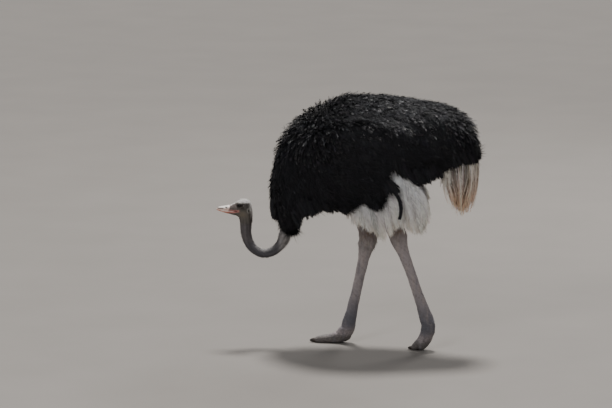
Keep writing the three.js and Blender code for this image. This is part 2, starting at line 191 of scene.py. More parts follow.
def node_mesh(name):
    """A CAD node's vertices and triangles, with the split corners joined."""
    bm = bmesh.new()
    bm.from_mesh(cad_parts[name].data)
    bmesh.ops.remove_doubles(bm, verts=bm.verts, dist=1e-6)
    return arrays(bm)


def stacked(meshes):
    """Vertices and faces of several meshes as one."""
    starts = np.cumsum([0] + [len(v) for v, _ in meshes[:-1]])
    faces = concatenate([f + start for (_, f), start in zip(meshes, starts)])
    return concatenate([v for v, _ in meshes]), faces


def grid(rows, cells, wrap_rows=False, wrap_cells=False):
    """The quads of a grid of points given row by row, closed on itself where it wraps."""
    i = arange(rows - (not wrap_rows))[:, None]
    j = arange(cells - (not wrap_cells))
    here, after, beside = i * cells, (i + 1) % rows * cells, (j + 1) % cells
    return columns(here + j, here + beside, after + beside, after + j).reshape(-1, 4)


def halved(quads):
    return concatenate([quads[:, [0, 1, 2]], quads[:, [0, 2, 3]]])


def vertex_normals(vertices, faces):
    a, b, c = vertices[faces[:, :3].T]
    normals = np.zeros_like(vertices)
    for corner in faces.T:
        np.add.at(normals, corner, cross(b - a, c - a))
    return unit(normals)


def outward_faces(vertices, faces, inside):
    """The faces, turned so that their normals look away from the inside place of each vertex."""
    outward = np.sum(vertex_normals(vertices, faces) * (vertices - inside)) > 0
    return faces if outward else faces[:, ::-1]


def tree_of(vertices, faces):
    return BVHTree.FromPolygons(vertices.tolist(), faces.tolist())


def averaging(edges, count):
    """A function that gives the mean over each vertex's neighbours, times a weight."""
    a, b = edges.T
    degree = maximum(np.bincount(a, minlength=count) + np.bincount(b, minlength=count), 1)[:, None]
    return lambda values, weight=1: weight * columns(
        *(np.bincount(a, v[b], count) + np.bincount(b, v[a], count) for v in values.T)
    ) / degree


def relax(vertices, edges, rounds, share=1.0):
    """Evens a surface out and keeps its volume."""
    mean = averaging(edges, len(vertices))
    share = np.broadcast_to(np.asarray(share, float), len(vertices))[:, None]
    for step in (0.5, -0.52) * rounds:
        vertices = vertices + step * share * (mean(vertices) - vertices)
    return vertices


def softened(values, edges, rounds):
    mean = averaging(edges, len(values))
    for _ in range(rounds):
        values = values * 0.4 + mean(values, 0.6)
    return values


def fused(parts, voxel, rounds):
    """Closed parts joined to one even surface of quads: its vertices, faces and edges."""
    piece = make_piece("fused", *stacked(parts))
    remesh = piece.modifiers.new("even", "REMESH")
    remesh.mode = "VOXEL"
    remesh.voxel_size = voxel
    made = with_modifiers(piece)
    vertices = numbers(made.vertices, "co", 3).astype(float)
    edges = numbers(made.edges, "vertices", 2, np.int32)
    faces = numbers(made.polygons, "vertices", 4, np.int32)
    bpy.data.objects.remove(piece)
    return relax(vertices, edges, rounds), faces, edges


def refined(vertices, faces, regions, plain):
    """Thins the plain part, then splits each edge inside each region once."""
    piece = make_piece("refined", vertices, faces)
    piece.vertex_groups.new(name="plain").add(np.flatnonzero(plain).tolist(), 1.0, "REPLACE")
    thin = piece.modifiers.new("thin", "DECIMATE")
    thin.ratio = 1 - 0.75 * plain.mean()
    thin.vertex_group = "plain"
    bm = bmesh.new()
    bm.from_mesh(with_modifiers(piece))
    bpy.data.objects.remove(piece)
    for region in regions:
        inside = region(array([v.co for v in bm.verts]))
        bm.verts.index_update()
        chosen = [e for e in bm.edges if inside[e.verts[0].index] and inside[e.verts[1].index]]
        bmesh.ops.subdivide_edges(bm, edges=chosen, cuts=1, use_grid_fill=True)
    return arrays(bm)


# --- Materials
def finish(name, roughness, variation, *bumps, **constants):
    """A material whose colour comes from the piece's tint, broken up by noise.

    variation is (share, wavelength in metres). Each bump is (wavelength, height) of noise in metres, or
    (wavelength, height, mask) of cells, where mask names the attribute that says where they are.
    """
    made = bpy.data.materials.new(name)
    made.use_nodes = True
    tree = made.node_tree
    shader = tree.nodes["Principled BSDF"]
    for socket, value in {"Roughness": roughness, **constants}.items():
        shader.inputs[socket.replace("_", " ")].default_value = value

    def node(kind, output, inputs=(), **settings):
        """A new node's output, with each input linked to a socket or set to a value."""
        new = tree.nodes.new("ShaderNode" + kind)
        for key, value in settings.items():
            setattr(new, key, value)
        for key, value in dict(inputs).items():
            if isinstance(value, bpy.types.NodeSocket):
                tree.links.new(value, new.inputs[key])
            else:
                new.inputs[key].default_value = value
        return new.outputs[output]

    place = node("TexCoord", "Object")

    def noise(wavelength):
        return node("TexNoise", "Fac", {"Vector": place, "Scale": 1 / wavelength, "Detail": 4})

    def cells(wavelength):
        inputs = {"Vector": place, "Scale": 1 / wavelength}
        gap = node("TexVoronoi", "Distance", inputs, feature="DISTANCE_TO_EDGE")
        return node("MapRange", "Result", {"Value": gap, "From Max": 0.22}, interpolation_type="SMOOTHSTEP")

    share, wavelength = variation
    span = {"From Min": 0.3, "From Max": 0.7, "To Min": 1 - share, "To Max": 1 + share}
    span = node("MapRange", "Result", {"Value": noise(wavelength), **span})
    tint = node("Attribute", "Color", attribute_name="tint")
    colour = node("VectorMath", "Vector", {0: tint, "Scale": span}, operation="SCALE")
    tree.links.new(colour, shader.inputs["Base Color"])
    normal = {}
    for wavelength, height, *mask in bumps:
        rise = cells(wavelength) if mask else noise(wavelength)
        if mask:
            mask = node("Attribute", "Fac", attribute_name=mask[0])
            rise = node("Math", "Value", {0: rise, 1: mask}, operation="MULTIPLY")
        rise = {"Height": rise, "Distance": height, "Strength": 1}
        normal["Normal"] = node("Bump", "Normal", {**rise, **normal})
    for socket, source in normal.items():
        tree.links.new(source, shader.inputs[socket])
    return made


def dress(piece, material, slot, *nodes):
    """Puts a piece on the bird, with its material, and hides the CAD nodes that it stands for. slot is not
    used.
    """
    piece.data.materials.append(material)
    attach(piece, "root")
    if nodes:
        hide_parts(*nodes)


# --- Camera, lights and floor
def aimed(name, data, centre, azimuth, elevation, distance):
    """Puts a camera or lamp where it looks at centre. Degrees: azimuth 0 is the bird's left side."""
    azimuth, elevation = radians(azimuth), radians(elevation)
    level = cos(elevation)
    way = array((sin(azimuth) * level, -cos(azimuth) * level, sin(elevation)))
    place = centre + way * distance
    thing = bpy.data.objects.new(name, data)
    thing.location = place
    thing.rotation_euler = (Vector(centre) - Vector(place)).to_track_quat("-Z", "Y").to_euler()
    bpy.context.scene.collection.objects.link(thing)
    return thing


lens = bpy.data.cameras.new("camera")
lens.lens, lens.sensor_width, lens.clip_end = 250, 36, 200
bpy.context.scene.camera = aimed("camera", lens, at(-0.231, 0, 0.744), 8, 10, 22.1)
for name, kind, azimuth, elevation, distance, settings in (
    ("key", "SUN", 187, 70, 8.0, {"energy": 4.0, "angle": radians(12)}),
    ("fill", "AREA", -20, 34, 7.0, {"energy": 134, "shape": "DISK", "size": 2.0}),
    ("rim", "AREA", 160, 34, 7.0, {"energy": 150, "shape": "DISK", "size": 2.5}),
):
    light = bpy.data.lights.new(name, kind)
    light.color = (1.0, 0.985, 0.96)
    for key, value in settings.items():
        setattr(light, key, value)
    aimed(name, light, at(0, 0, 0.7), azimuth, elevation, distance)
world = bpy.data.worlds.new("studio")
world.use_nodes = True
sky = world.node_tree.nodes["Background"].inputs
sky["Color"].default_value = (0.86, 0.88, 0.92, 1)
sky["Strength"].default_value = 0.30
bpy.context.scene.world = world

FLOOR_RADIUS, SPOKES = 45, 64
FLOOR_TOP = -0.0004  # just under the toes
spoke = arange(SPOKES)
turn = spoke * (2 * pi / SPOKES)
disc = concatenate([[(0, 0, 0)], columns(cos(turn), sin(turn), 0) * FLOOR_RADIUS])
wheel = columns(0, 1 + spoke, 1 + (spoke + 1) % SPOKES)
floor = make_piece("floor", disc + (0, 0, FLOOR_TOP), wheel, rgb(131, 126, 121))
floor.data.materials.append(finish("floor_finish", 0.85, (0.03, 0.5), (0.01, 0.0006)))

# --- The skin's shape
PARTS = (
    ["trunk"],
    ["neck_lower", "neck_middle", "neck_upper"],
    ["head", "eye_left", "eye_right", "ear_left", "ear_right"],
    [f"{part}_{word}" for word in SIDES.values() for part in ("shank", "tarsus", "toe_big", "toe_outer")],
)
TRUNK, NECK, HEAD, LEG = range(len(PARTS))
UNDER_COAT = (COAT_DEPTH, 0.0006, 0.0008, 0.0)  # how far each part's skin lies inside its node
SKIN_VOXEL = 0.0045
part_meshes = [stacked([node_mesh(node) for node in nodes]) for nodes in PARTS]
owner = repeat(range(len(PARTS)), [len(f) for _, f in part_meshes])
part_tree = tree_of(*stacked(part_meshes))


def parts_at(points, edges, rounds):
    """How far each point belongs to each part, 0 to 1, softened over the surface."""
    nearest = [part_tree.find_nearest(Vector(p))[2] for p in points]
    return softened(np.eye(len(PARTS))[owner[nearest]], edges, rounds)


HEAD_REAR, HEAD_LOW = -0.49, 0.655  # the head lies before and above these
NECK_REAR, NECK_FRONT, NECK_TOP, FEET_TOP = -0.345, -0.45, 0.63, 0.17


def near_head(points):
    x, _, z = points.T
    return (x < SHIFT + HEAD_REAR) & (z > HEAD_LOW)


def near_bare(points):
    """Whether points are at the neck or the feet."""
    x, _, z = points.T
    return (x < SHIFT + NECK_REAR) & ((z < NECK_TOP) | (x < SHIFT + NECK_FRONT)) | (z < FEET_TOP)


def mirrored(points):
    """Points with the right side's y on both sides."""
    return columns(points[:, 0], abs(points[:, 1]), points[:, 2])


def near_eyes(points):
    return norm(mirrored(points) - EYE, axis=1) < 0.031


flesh, flesh_faces, edges = fused(part_meshes, SKIN_VOXEL, 3)
shares = parts_at(flesh, edges, 40)
inward = -vertex_normals(flesh, flesh_faces)
depth = shares @ UNDER_COAT
body_tree = tree_of(flesh, flesh_faces)
for i in np.flatnonzero(depth > 0.004):
    gap = body_tree.ray_cast(Vector(flesh[i] + inward[i] * 1e-4), Vector(inward[i]))[3]
    if gap is not None:
        depth[i] = min(depth[i], 0.28 * gap)  # what's thin stays solid
depth = softened(depth[:, None], edges, 4)
flesh = relax(flesh + inward * depth, edges, 4, shares[:, TRUNK])
regions = (near_bare, near_head, near_eyes)
flesh, flesh_faces = refined(flesh, flesh_faces, regions, shares[:, TRUNK] > 0.98)
pairs = concatenate([flesh_faces[:, [0, 1]], flesh_faces[:, [1, 2]], flesh_faces[:, [2, 0]]])
edges = np.unique(np.sort(pairs, axis=1), axis=0)
flesh = relax(flesh, edges, 4, near_bare(flesh))
shares = parts_at(flesh, edges, 6)

# --- The skin's relief
gaze = unit(array((-0.26, 0.96, 0.04)))  # out of the right eye
eye_front = flat(array((-0.97, -0.26, -0.12)), gaze)
eye_up = cross(gaze, eye_front)
LID_WIDTH, UPPER_LID, LOWER_LID = 13.8, 6.4, 7.0  # half the opening's width and its heights, in mm
LID_POWER = 1.75  # the shape of the opening: 1 is a diamond, 2 an oval
EAR_WIDTH, EAR_HEIGHT = 4.2, 6.0  # half the ear's opening, in mm


def eye_place(points):
    """How far points lie forward, up, outward and in all from an eye's centre, in mm, and where they are
    in the lids' almond opening, measured on the eyeball: 1 on its edge, less inside it."""
    off = (mirrored(points) - EYE) / MM
    forward, up, outward = off @ eye_front, off @ eye_up, off @ gaze
    reach = sqrt(forward**2 + up**2 + outward**2)
    scale = BALL / maximum(reach, 1)
    height = where(up > 0, UPPER_LID, LOWER_LID)
    almond = abs(forward * scale / LID_WIDTH) ** LID_POWER + abs(up * scale / height) ** LID_POWER
    return forward, up, outward, reach, almond


def ear_place(points):
    """Where points are round an ear's opening, 1 on its edge, and how far out of it, in mm."""
    off = (mirrored(points) - EAR) / MM
    return sqrt((off[:, 0] / EAR_WIDTH) ** 2 + (off[:, 2] / EAR_HEIGHT) ** 2), off[:, 1]


def mouth_place(points):
    """How far points lie behind the bill's tip along the mouth, and above its line, in mm."""
    line = unit((MOUTH_CORNER - MOUTH_TIP)[[0, 2]])
    off = (points - MOUTH_TIP)[:, [0, 2]] / MM
    return off @ line, off[:, 1] * line[0] - off[:, 0] * line[1]


def leg_run(hock, ankle):
    """A leg's length, which way it runs down, and which way is forward across it."""
    way = unit(ankle - hock)
    fore = unit(cross(way, (0, 1, 0)))
    return norm(ankle - hock), way, fore * -sign(fore[0])


MOUTH_LENGTH = norm(MOUTH_CORNER - MOUTH_TIP) / MM
BILL_LENGTH = (BILL_BASE - MOUTH_TIP)[0] / MM
forward, up, outward, reach, almond = eye_place(flesh)
beside_eye = ease(0, 5, outward) * ease(34, 26, reach)
on_head = shares[:, HEAD] * near_head(flesh)

# Lids: they hug the ball, sink inside the opening, and wrinkle in rings round it.
open_eye = almond < 1.04
lids = BALL + 1.5 - 0.5 * hump(almond, 1.9, 0.25) - 0.35 * hump(almond, 2.9, 0.3)
lids = lids + 0.3 * hump(almond, 2.35, 0.3)
hug = beside_eye * where(open_eye, 1, ease(5.2, 1.6, almond))
goal = reach * (1 - hug) + where(open_eye, BALL - 4.5, lids) * hug
goal = where(~open_eye & (outward > -8), maximum(goal, BALL + 1.3), goal)
centres = EYE * columns(1, sign(flesh[:, 1]), 1)
flesh = centres + (flesh - centres) * (goal / reach)[:, None]

normals = vertex_normals(flesh, flesh_faces)
back, above = mouth_place(flesh)
ear, out_of_ear = ear_place(flesh)
x, z = (flesh[:, 0] - SHIFT) / MM, flesh[:, 2] / MM
mouth = ease(BILL_LENGTH - 6, BILL_LENGTH, back) * ease(MOUTH_LENGTH + 4, MOUTH_LENGTH - 4, back)
corner = hump(back, MOUTH_LENGTH - 11, 6) * hump(above, 0.2, 2.6)
beside_ear = out_of_ear > -14
relief = 2.2 * hump(up, 15.5, 4.2) * hump(forward, 1, 17) * ease(2, 9, outward) * (almond > 1.5)  # the brow
relief -= 1.3 * hump(forward, 25, 7) * hump(up, -3, 7)
relief += mouth * (1.1 * hump(above, 3.2, 1.6) + 1.0 * hump(above, -3.4, 1.7) - 3.0 * hump(above, 0, 1.15))
relief -= 2.6 * corner + 0.7 * hump(back, MOUTH_LENGTH + 7, 6) * hump(above, -5, 11)
relief += beside_ear * (0.9 * hump(ear, 1.35, 0.28) - 6.0 * ease(1.0, 0.45, ear))
throat = hump(sin(0.55 * z + 0.35 * x + 1.2 * wobble(flesh, 0.03, 5)), 1, 0.5) * ease(694, 676, z)
relief += 0.32 * throat + 0.30 * wobble(flesh, 0.012, 6) + 0.16 * wobble(flesh, 0.004, 7)
relief = relief * on_head

# Neck: soft rings of loose skin.
fold = sin((x * 0.62 + z * 0.78) * 0.52 + 1.5 * wobble(flesh, 0.05, 8))
relief += shares[:, NECK] * near_bare(flesh) * (0.35 * fold + 0.5 * wobble(flesh, 0.03, 9))

# Legs: creases at the hocks and ankles, sinews along the shins, and lumpy toe pads.
leg_facts = np.zeros((4, len(flesh)))
leg_facts[:2] = 9  # far from any joint
for side, (hock, ankle) in LEGS.items():
    long, way, fore = leg_run(hock, ankle)
    down = (flesh - hock) @ way / long
    shin = ease(0.05, 0.16, down) * ease(1.0, 0.9, down)
    facts = norm(flesh - hock, axis=1), norm(flesh - ankle, axis=1), shin, -(normals @ fore)
    leg_facts = where(flesh[:, 1] * side > 0, facts, leg_facts)
hock_gap, ankle_gap, shin, behind_leg = leg_facts
crease = sin(z * 0.42 + 1.6 * wobble(flesh, 0.05, 12))
relief += shares[:, LEG] * (
    0.7 * crease * (hump(hock_gap, 0, 0.055) + hump(ankle_gap, 0, 0.06))
    + 1.1 * wobble(flesh, 0.06, 13)
    + 0.35 * wobble(flesh, 0.018, 14)
    - 1.3 * shin * hump(abs(normals[:, 1]), 0.8, 0.25) * ease(-0.2, 0.3, behind_leg)
)
flesh = flesh + normals * (relief * MM)[:, None]
flesh[:, 2] = maximum(flesh[:, 2], 0)

# --- The skin's colours
# The middle of the neck and head from the body up, [x, z] in mm.
NECK_LINE = [
    (-338, 604), (-359, 537), (-383, 505), (-415, 484), (-451, 476), (-485, 485), (-512, 505),
    (-532, 533), (-544, 568), (-548, 605), (-549, 660), (-556, 705), (-585, 722), (-640, 712),
]
neck_line = array(NECK_LINE) * MM + (SHIFT, 0)


def neck_run(places):
    """Which way the neck runs to the body beside each place, how far up it, and how far off its line."""
    starts, steps = neck_line[:-1], np.diff(neck_line, axis=0)
    off = places[:, None, [0, 2]] - starts
    t = clip((off * steps).sum(axis=2) / (steps**2).sum(axis=1), 0, 1)
    off = off - t[..., None] * steps
    best = np.argmin(norm(off, axis=2), axis=1)
    rows = arange(len(best))
    x, z = -unit(steps[best]).T
    aside = off[rows, best, 0] * z - off[rows, best, 1] * x
    return columns(x, 0, z), (best + t[rows, best]) / len(steps), aside


def bare_colours(places, normals):
    """The colours of the neck and head, with painted shade and painted light, the same for the skin and for
    its down.
    """
    x, y, z = lengths(mirrored(places)) / MM
    _, run, aside = neck_run(places)
    beside = ease(8, 18, y)
    streak = wobble(columns(aside, places[:, 1], 0.04 * run), 0.013, 29)
    colour = layered(
        # painted shade: the neck is darker low in its bend, lighter from 510 to 570 mm up
        rgb(82, 80, 84),
        ((96, 91, 92), ease(510, 570, z)),
        ((94, 89, 84), ease(622, 652, z) * ease(-470, -510, x)),
        # the base by the body is paler: partly its grey skin, partly painted sunlight
        ((170, 166, 166), ease(-385, -345, x) * 0.85),
    )
    colour = layered(
        colour * (1 + 0.16 * streak * ease(700, 640, z))[:, None],
        ((66, 57, 54), ease(-533, -519, x) * ease(590, 650, z) * ease(728, 700, z) * 0.7),
        ((120, 111, 96), hump(x, -560, 22) * hump(z, 686, 15) * beside * 0.75),
        ((106, 95, 92), hump(x, -608, 26) * hump(z, 727, 16) * 0.85),
        # painted shade in the socket behind and below the eye
        ((54, 51, 47), hump(x, -556, 17) * hump(z, 717, 9) * beside * 0.8),
    )
    # Painted shade: the side of the head under the crown line is darker, most of all behind the eye.
    low = interp(x, (-640, -600, -575, -548, -530), (724, 732, 736, 726, 722))
    low = low + 3 * wobble(places, 0.02, 30)
    brow_shade = ease(low - 5, low + 5, z) * (0.75 + 0.25 * wobble(places, 0.012, 31))
    dark = layered(rgb(100, 91, 87), ((72, 67, 66), ease(-598, -576, x)))
    colour = blend(colour, dark, clip(brow_shade, 0, 1) * ease(4, 12, y))
    ring = hump(ear_place(places)[0], 1.9, 0.6) * ease(14, 18, y)
    # Painted rim light: the crown and the rear-facing side of the head and upper neck are painted pale.
    crown = interp(x, (-632, -622, -600, -578, -532, -517), (723, 730, 740, 748, 745, 735))
    top = ease(-2.5, 3.5, z - crown + 2 * wobble(places, 0.014, 32)) * ease(-640, -626, x)
    rear = ease(0.66, 0.90, normals[:, 0]) * ease(650, 700, z)
    return layered(
        colour,
        ((150, 146, 140), ring * (0.75 + 0.25 * wobble(places, 0.006, 28))),
        ((226, 222, 218), clip(top + 0.75 * rear, 0, 1) * 0.92),
    )


def leg_colours(places):
    """The colours of the legs and toes: pinkish grey above, a darker blue-grey painted shade low on the
    shins, brown-grey toes.
    """
    z = places[:, 2]
    streak = wobble(places * (1, 1, 0.16), 0.024, 22)
    colour = layered(
        rgb(160, 151, 152),
        # painted shade: darker and bluer down towards the ankles
        ((98, 98, 106), ease(0.33, 0.10, z)),
        ((148, 138, 138), hump(z, 0.060, 0.032) * 0.9),
        ((103, 97, 94), ease(0.055, 0.035, z) * 0.9),
    )
    return layered(
        colour * (1 + 0.22 * wobble(places, 0.010, 34) * ease(0.09, 0.05, z))[:, None],
        ((178, 164, 158), ease(0.2, 1.1, streak) * 0.35 * ease(0.05, 0.2, z)),
        ((108, 106, 112), ease(-0.2, -1.1, streak) * 0.4),
    )


leg_tint = layered(
    leg_colours(flesh),
    ((160, 150, 145), hump(hock_gap, 0.02, 0.05) * 0.5),
    ((104, 97, 96), ease(0.5, 1.3, wobble(flesh, 0.022, 23)) * 0.4),
)
tint = blend(rgb(30, 28, 29), bare_colours(flesh, normals), clip(shares[:, NECK] + shares[:, HEAD], 0, 1))
toward_corner = ease(BILL_LENGTH, MOUTH_LENGTH + 6, back)
gape_gap = abs(above + 5.5 - 5.5 * toward_corner) + 1.2 * wobble(flesh, 0.016, 26) + 3 * toward_corner
gape = ease(BILL_LENGTH - 14, BILL_LENGTH - 2, back) * ease(MOUTH_LENGTH + 19, MOUTH_LENGTH + 4, back)
gape = gape * ease(11.5, 7.0, gape_gap) * on_head
# A pale rim along the lower bill's edge by the mouth, brightened as a painted highlight.
lip = mouth * hump(above, -3.2, 1.6) * ease(MOUTH_LENGTH - 14, MOUTH_LENGTH - 26, back)
mottle = 1 + 0.10 * wobble(flesh, 0.011, 24) + 0.06 * wobble(flesh, 0.004, 25)
tint = layered(
    blend(tint, leg_tint, shares[:, LEG]),
    ((76, 68, 64), hump(almond, 2.2, 1.1) * beside_eye * 0.6),
    ((36, 30, 28), ease(1.5, 1.05, almond) * beside_eye * (1 - 0.6 * ease(8, 14, forward))),
    ((214, 142, 134), gape * (0.84 + 0.16 * wobble(flesh, 0.007, 27))),
    ((246, 214, 204), lip * on_head * 0.85),
    ((120, 56, 52), gape * hump(above, -13, 2.2) * 0.6),
    ((112, 48, 50), hump(back, MOUTH_LENGTH - 5, 9) * hump(above, 0.5, 4.0) * on_head * 0.8),
    ((64, 26, 28), clip(mouth * hump(above, 0, 1.3) + 0.9 * corner, 0, 1) * on_head),
    # painted shade inside the ear's opening
    ((36, 29, 28), beside_ear * ease(1.15, 0.7, ear) * on_head),
)
tint = clip(tint * mottle[:, None], 0, 1)


def lid_line(turn):
    """Places on the edge of the right eye's lids, in mm from its centre, and how far forward they are."""
    cosine, sine = cos(turn), sin(turn)
    across = LID_WIDTH * sign(cosine) * abs(cosine) ** (2 / LID_POWER)
    tall = where(sine > 0, UPPER_LID, LOWER_LID) * sign(sine) * abs(sine) ** (2 / LID_POWER)
    out = sqrt(maximum(BALL**2 - across**2 - tall**2, 1))
    return across[:, None] * eye_front + tall[:, None] * eye_up + out[:, None] * gaze, across


def lid_rim(side, steps=96, sides=8):
    """A thin dark roll along the edge of one eye's lids."""
    turn = linspace(0, 2 * pi, steps, endpoint=False)
    line = lid_line(turn)[0]
    outward = unit(line)
    line = line + outward * 0.75
    beside = cross(unit(np.roll(line, -1, axis=0) - np.roll(line, 1, axis=0)), outward)
    roll = linspace(0, 2 * pi, sides, endpoint=False)[:, None]
    thick = 1.15 + 0.15 * sin(5 * turn)[:, None, None]
    rim = line[:, None] + thick * (cos(roll) * outward[:, None] + sin(roll) * beside[:, None])
    rim = (EYE + rim.reshape(-1, 3) * MM) * (1, side, 1)
    spine = repeat((EYE + line * MM) * (1, side, 1), sides, axis=0)
    return rim, outward_faces(rim, halved(grid(steps, sides, True, True)), spine)


rims = stacked([lid_rim(side) for side in SIDES])
rim_tint = tile(rgb(34, 28, 26), (len(rims[0]), 1))
skin = make_piece("skin", *stacked([(flesh, flesh_faces), rims]), concatenate([tint, rim_tint]))
give(skin.data, "leg", "FLOAT", "value", np.append(shares[:, LEG], 0 * rim_tint[:, 0]))
skin_finish = finish(
    "skin_finish", 0.62, (0.12, 0.006), (0.0016, 0.0004), (0.0042, 0.0007, "leg"), Specular_IOR_Level=0.35
)
dress(skin, skin_finish, "neck_skin", *(node for nodes in PARTS for node in nodes if "eye" not in node))

# --- Feathers
BLADE = array([(0, 1, 3), (0, 3, 2), (2, 3, 4)])  # a blade of five points that tapers to a tip


def along(values, place):
    """Values given at even steps of each path, read at places 0 to 1 along it."""
    steps = values.shape[1] - 1
    low = clip((place * steps).astype(int), 0, steps - 1)
    part = (place * steps - low)[..., None]
    rows = arange(len(values))[:, None]
    return values[rows, low] * (1 - part) + values[rows, low + 1] * part


class Coat:
    """Feathers gathered into one joined mesh, with a tint and a bake map."""

    def __init__(self):
        self.parts, self.count = [], 0

    def add(self, vertices, faces, tints, roots, local):
        """vertices (tufts, n, 3), faces (m, 3) within a tuft, roots and local on the bake map."""
        tufts, size = vertices.shape[:2]
        faces = faces + self.count + arange(tufts)[:, None, None] * size
        chart = roots[:, None, :] + (clip(local, 0, 1) - 0.5) * PATCH
        rows = (vertices, 3), (faces, 3), (np.broadcast_to(tints, vertices.shape), 3), (chart, 2)
        self.parts.append([values.reshape(-1, width) for values, width in rows])
        self.count += tufts * size

    def dress(self, name, material, slot, *nodes, smooth=False):
        vertices, faces, tints, chart = map(concatenate, zip(*self.parts))
        piece = make_piece(name, vertices, faces, tints, smooth)
        corners = numbers(piece.data.loops, "vertex_index", 1, np.int32)[:, 0]
        layer = piece.data.uv_layers.new(name="OFBake")
        layer.data.foreach_set("uv", chart[corners].astype(np.float32).ravel())
        dress(piece, material, slot, *nodes)


def plumes(
    coat, paths, facings, half_width, tint, roots, rng,
    barbs=14, angles=(0.95, 0.45), barb_width=0.0024, fluff=0.16, droop=0.10, ragged=0.28,
):
    """Loose feathers on paths (feathers, points, 3) from root to tip, whose upper sides face facings.

    Each has a shaft and separate barbs on both sides. tint is (feathers, 2, 3): at the root and at the tip.
    """
    count, points = paths.shape[:2]
    tangent = unit(np.gradient(paths, axis=1))
    side = unit(cross(tangent, facings))
    place = 0.06 + 0.92 * tile((arange(barbs) + 0.5) / barbs, 2)
    place = clip(place + rng.uniform(-0.4, 0.4, (count, 2 * barbs)) / barbs, 0, 1)
    stem = along(paths, place)
    t, b, n = (unit(along(values, place)) for values in (tangent, side, cross(side, tangent)))
    long = half_width[:, None] * sin(pi * (0.16 + 0.76 * place)) ** 0.7
    long = long * rng.uniform(1 - ragged, 1 + ragged, place.shape)
    angle = angles[0] + (angles[1] - angles[0]) * place + rng.normal(0, 0.10, place.shape)
    lift = rng.normal(0, fluff, place.shape)[..., None]
    thick = barb_width * rng.uniform(0.7, 1.3, place.shape)[..., None]
    reach = (0.5 * long / sin(maximum(angle, 0.5)))[..., None]
    angle = angle[..., None]
    late = angle * 0.62
    way = repeat((-1.0, 1.0), barbs)[:, None]
    wide = (sin(angle) * t - cos(angle) * way * b) * thick
    mid = stem + reach * (cos(angle) * t + sin(angle) * way * b + lift * n)
    tip = mid + reach * (cos(late) * t + sin(late) * way * b + (lift - 2 * droop) * n)
    corners = stem - 0.5 * wide, stem + 0.5 * wide, mid - 0.42 * wide, mid + 0.42 * wide, tip
    blades = stack(corners, axis=2).reshape(count, -1, 3)
    faces = (BLADE + 5 * arange(2 * barbs)[:, None, None]).reshape(-1, 3)
    taper = linspace(1, 0.15, points)[:, None] * 0.0009
    shaft = stack([paths - taper * side, paths + taper * side], axis=2).reshape(count, -1, 3)

    across = np.append(0.5 + way * (0, 0, 0.25, 0.25, 0.5), np.full(2 * points, 0.5))
    blade_up = (place[..., None] + 0.10 * array((0, 0, 0.5, 0.5, 1))).reshape(count, -1)
    shaft_up = tile(repeat(linspace(0, 1, points), 2), (count, 1))
    up = clip(concatenate([blade_up, shaft_up], axis=1), 0, 1)
    coat.add(
        concatenate([blades, shaft], axis=1),
        concatenate([faces, halved(grid(points, 2)) + blades.shape[1]]),
        graded(tint, up[..., None] ** 1.5),
        roots,
        columns(across, up),
    )


def around(points, start, end, up=(0, 0, 1.0)):
    """Where points lie on the unrolled cylinder about the line from start to end, 0 to 1 both ways."""
    long, axis = norm(end - start), unit(end - start)
    side = unit(cross(axis, up))
    off = points - start
    turn = np.arctan2(off @ side, off @ cross(side, axis)) / (2 * pi) + 0.5
    return 0.02 + 0.96 * columns(turn, clip(off @ axis / long, 0, 1))


def scattered(vertices, faces, normals, density, rng):
    """Random places on a surface, and the normals there. density(places) is in tufts per square metre."""
    corners, bent, quads = vertices[faces], normals[faces], faces.shape[1] == 4
    a, b, c, d = vertices[faces[:, [0, 1, 2, -1]].T]
    area = 0.5 * norm(cross(c - a, d - b) if quads else cross(b - a, c - a), axis=1)
    count = np.floor(area * density(corners.mean(axis=1)) + rng.random(len(faces))).astype(int)
    pick = repeat(arange(len(faces)), count)
    a, b = rng.random((2, len(pick)))
    if quads:
        weights = (1 - a) * (1 - b), a * (1 - b), a * b, (1 - a) * b
    else:
        over = a + b > 1
        a, b = where(over, 1 - a, a), where(over, 1 - b, b)
        weights = 1 - a - b, a, b
    weights = columns(*weights)[..., None]
    return (corners[pick] * weights).sum(axis=1), unit((bent[pick] * weights).sum(axis=1))


def two_tone(root_colour, tip_colour, count, rng, tone=0.12, hue=0.03):
    """A root and a tip colour for each feather, each a little different."""
    pair = tile([rgb(*root_colour), rgb(*tip_colour)], (count, 1, 1))
    return pair * rng.uniform(1 - tone, 1 + tone, (count, 1, 1)) * (1 + rng.normal(0, hue, (count, 1, 3)))


# --- Eyes and lashes
PUPIL, IRIS = 5.6, 12.2  # radii on the ball, in mm


def eyeball(side, rings=40, spokes=48):
    """A ball whose pole looks along the gaze, with a slightly raised front."""
    polar = linspace(0, pi, rings) ** 1.35 / pi**0.35
    turn = linspace(0, 2 * pi, spokes, endpoint=False)
    reach = BALL + 0.9 * np.exp(-((polar / 0.55) ** 4))
    wheel = cos(turn)[:, None] * eye_front + sin(turn)[:, None] * eye_up
    ball = (reach * cos(polar))[:, None, None] * gaze + (reach * sin(polar))[:, None, None] * wheel
    ball = ((EYE + ball * MM) * (1, side, 1)).reshape(-1, 3)
    faces = outward_faces(ball, grid(rings, spokes, False, True), EYE * (1, side, 1))
    arc = repeat(reach * polar, spokes)
    spoke = tile(turn, rings)
    fibres = 0.5 + 0.5 * sin(spoke * 23 + 2 * sin(spoke * 7)) * sin(spoke * 11 + 1)
    iris = layered(rgb(40, 27, 22), ((24, 16, 13), fibres * 0.6))
    iris = blend(rgb(30, 18, 12), iris, ease(PUPIL, PUPIL + 2.5, arc) * ease(IRIS, IRIS - 2.5, arc))
    colour = blend(rgb(6, 5, 5), iris, ease(PUPIL - 0.3, PUPIL + 0.4, arc))
    return ball, faces, layered(colour, ((40, 30, 27), ease(IRIS, IRIS + 1.2, arc)))


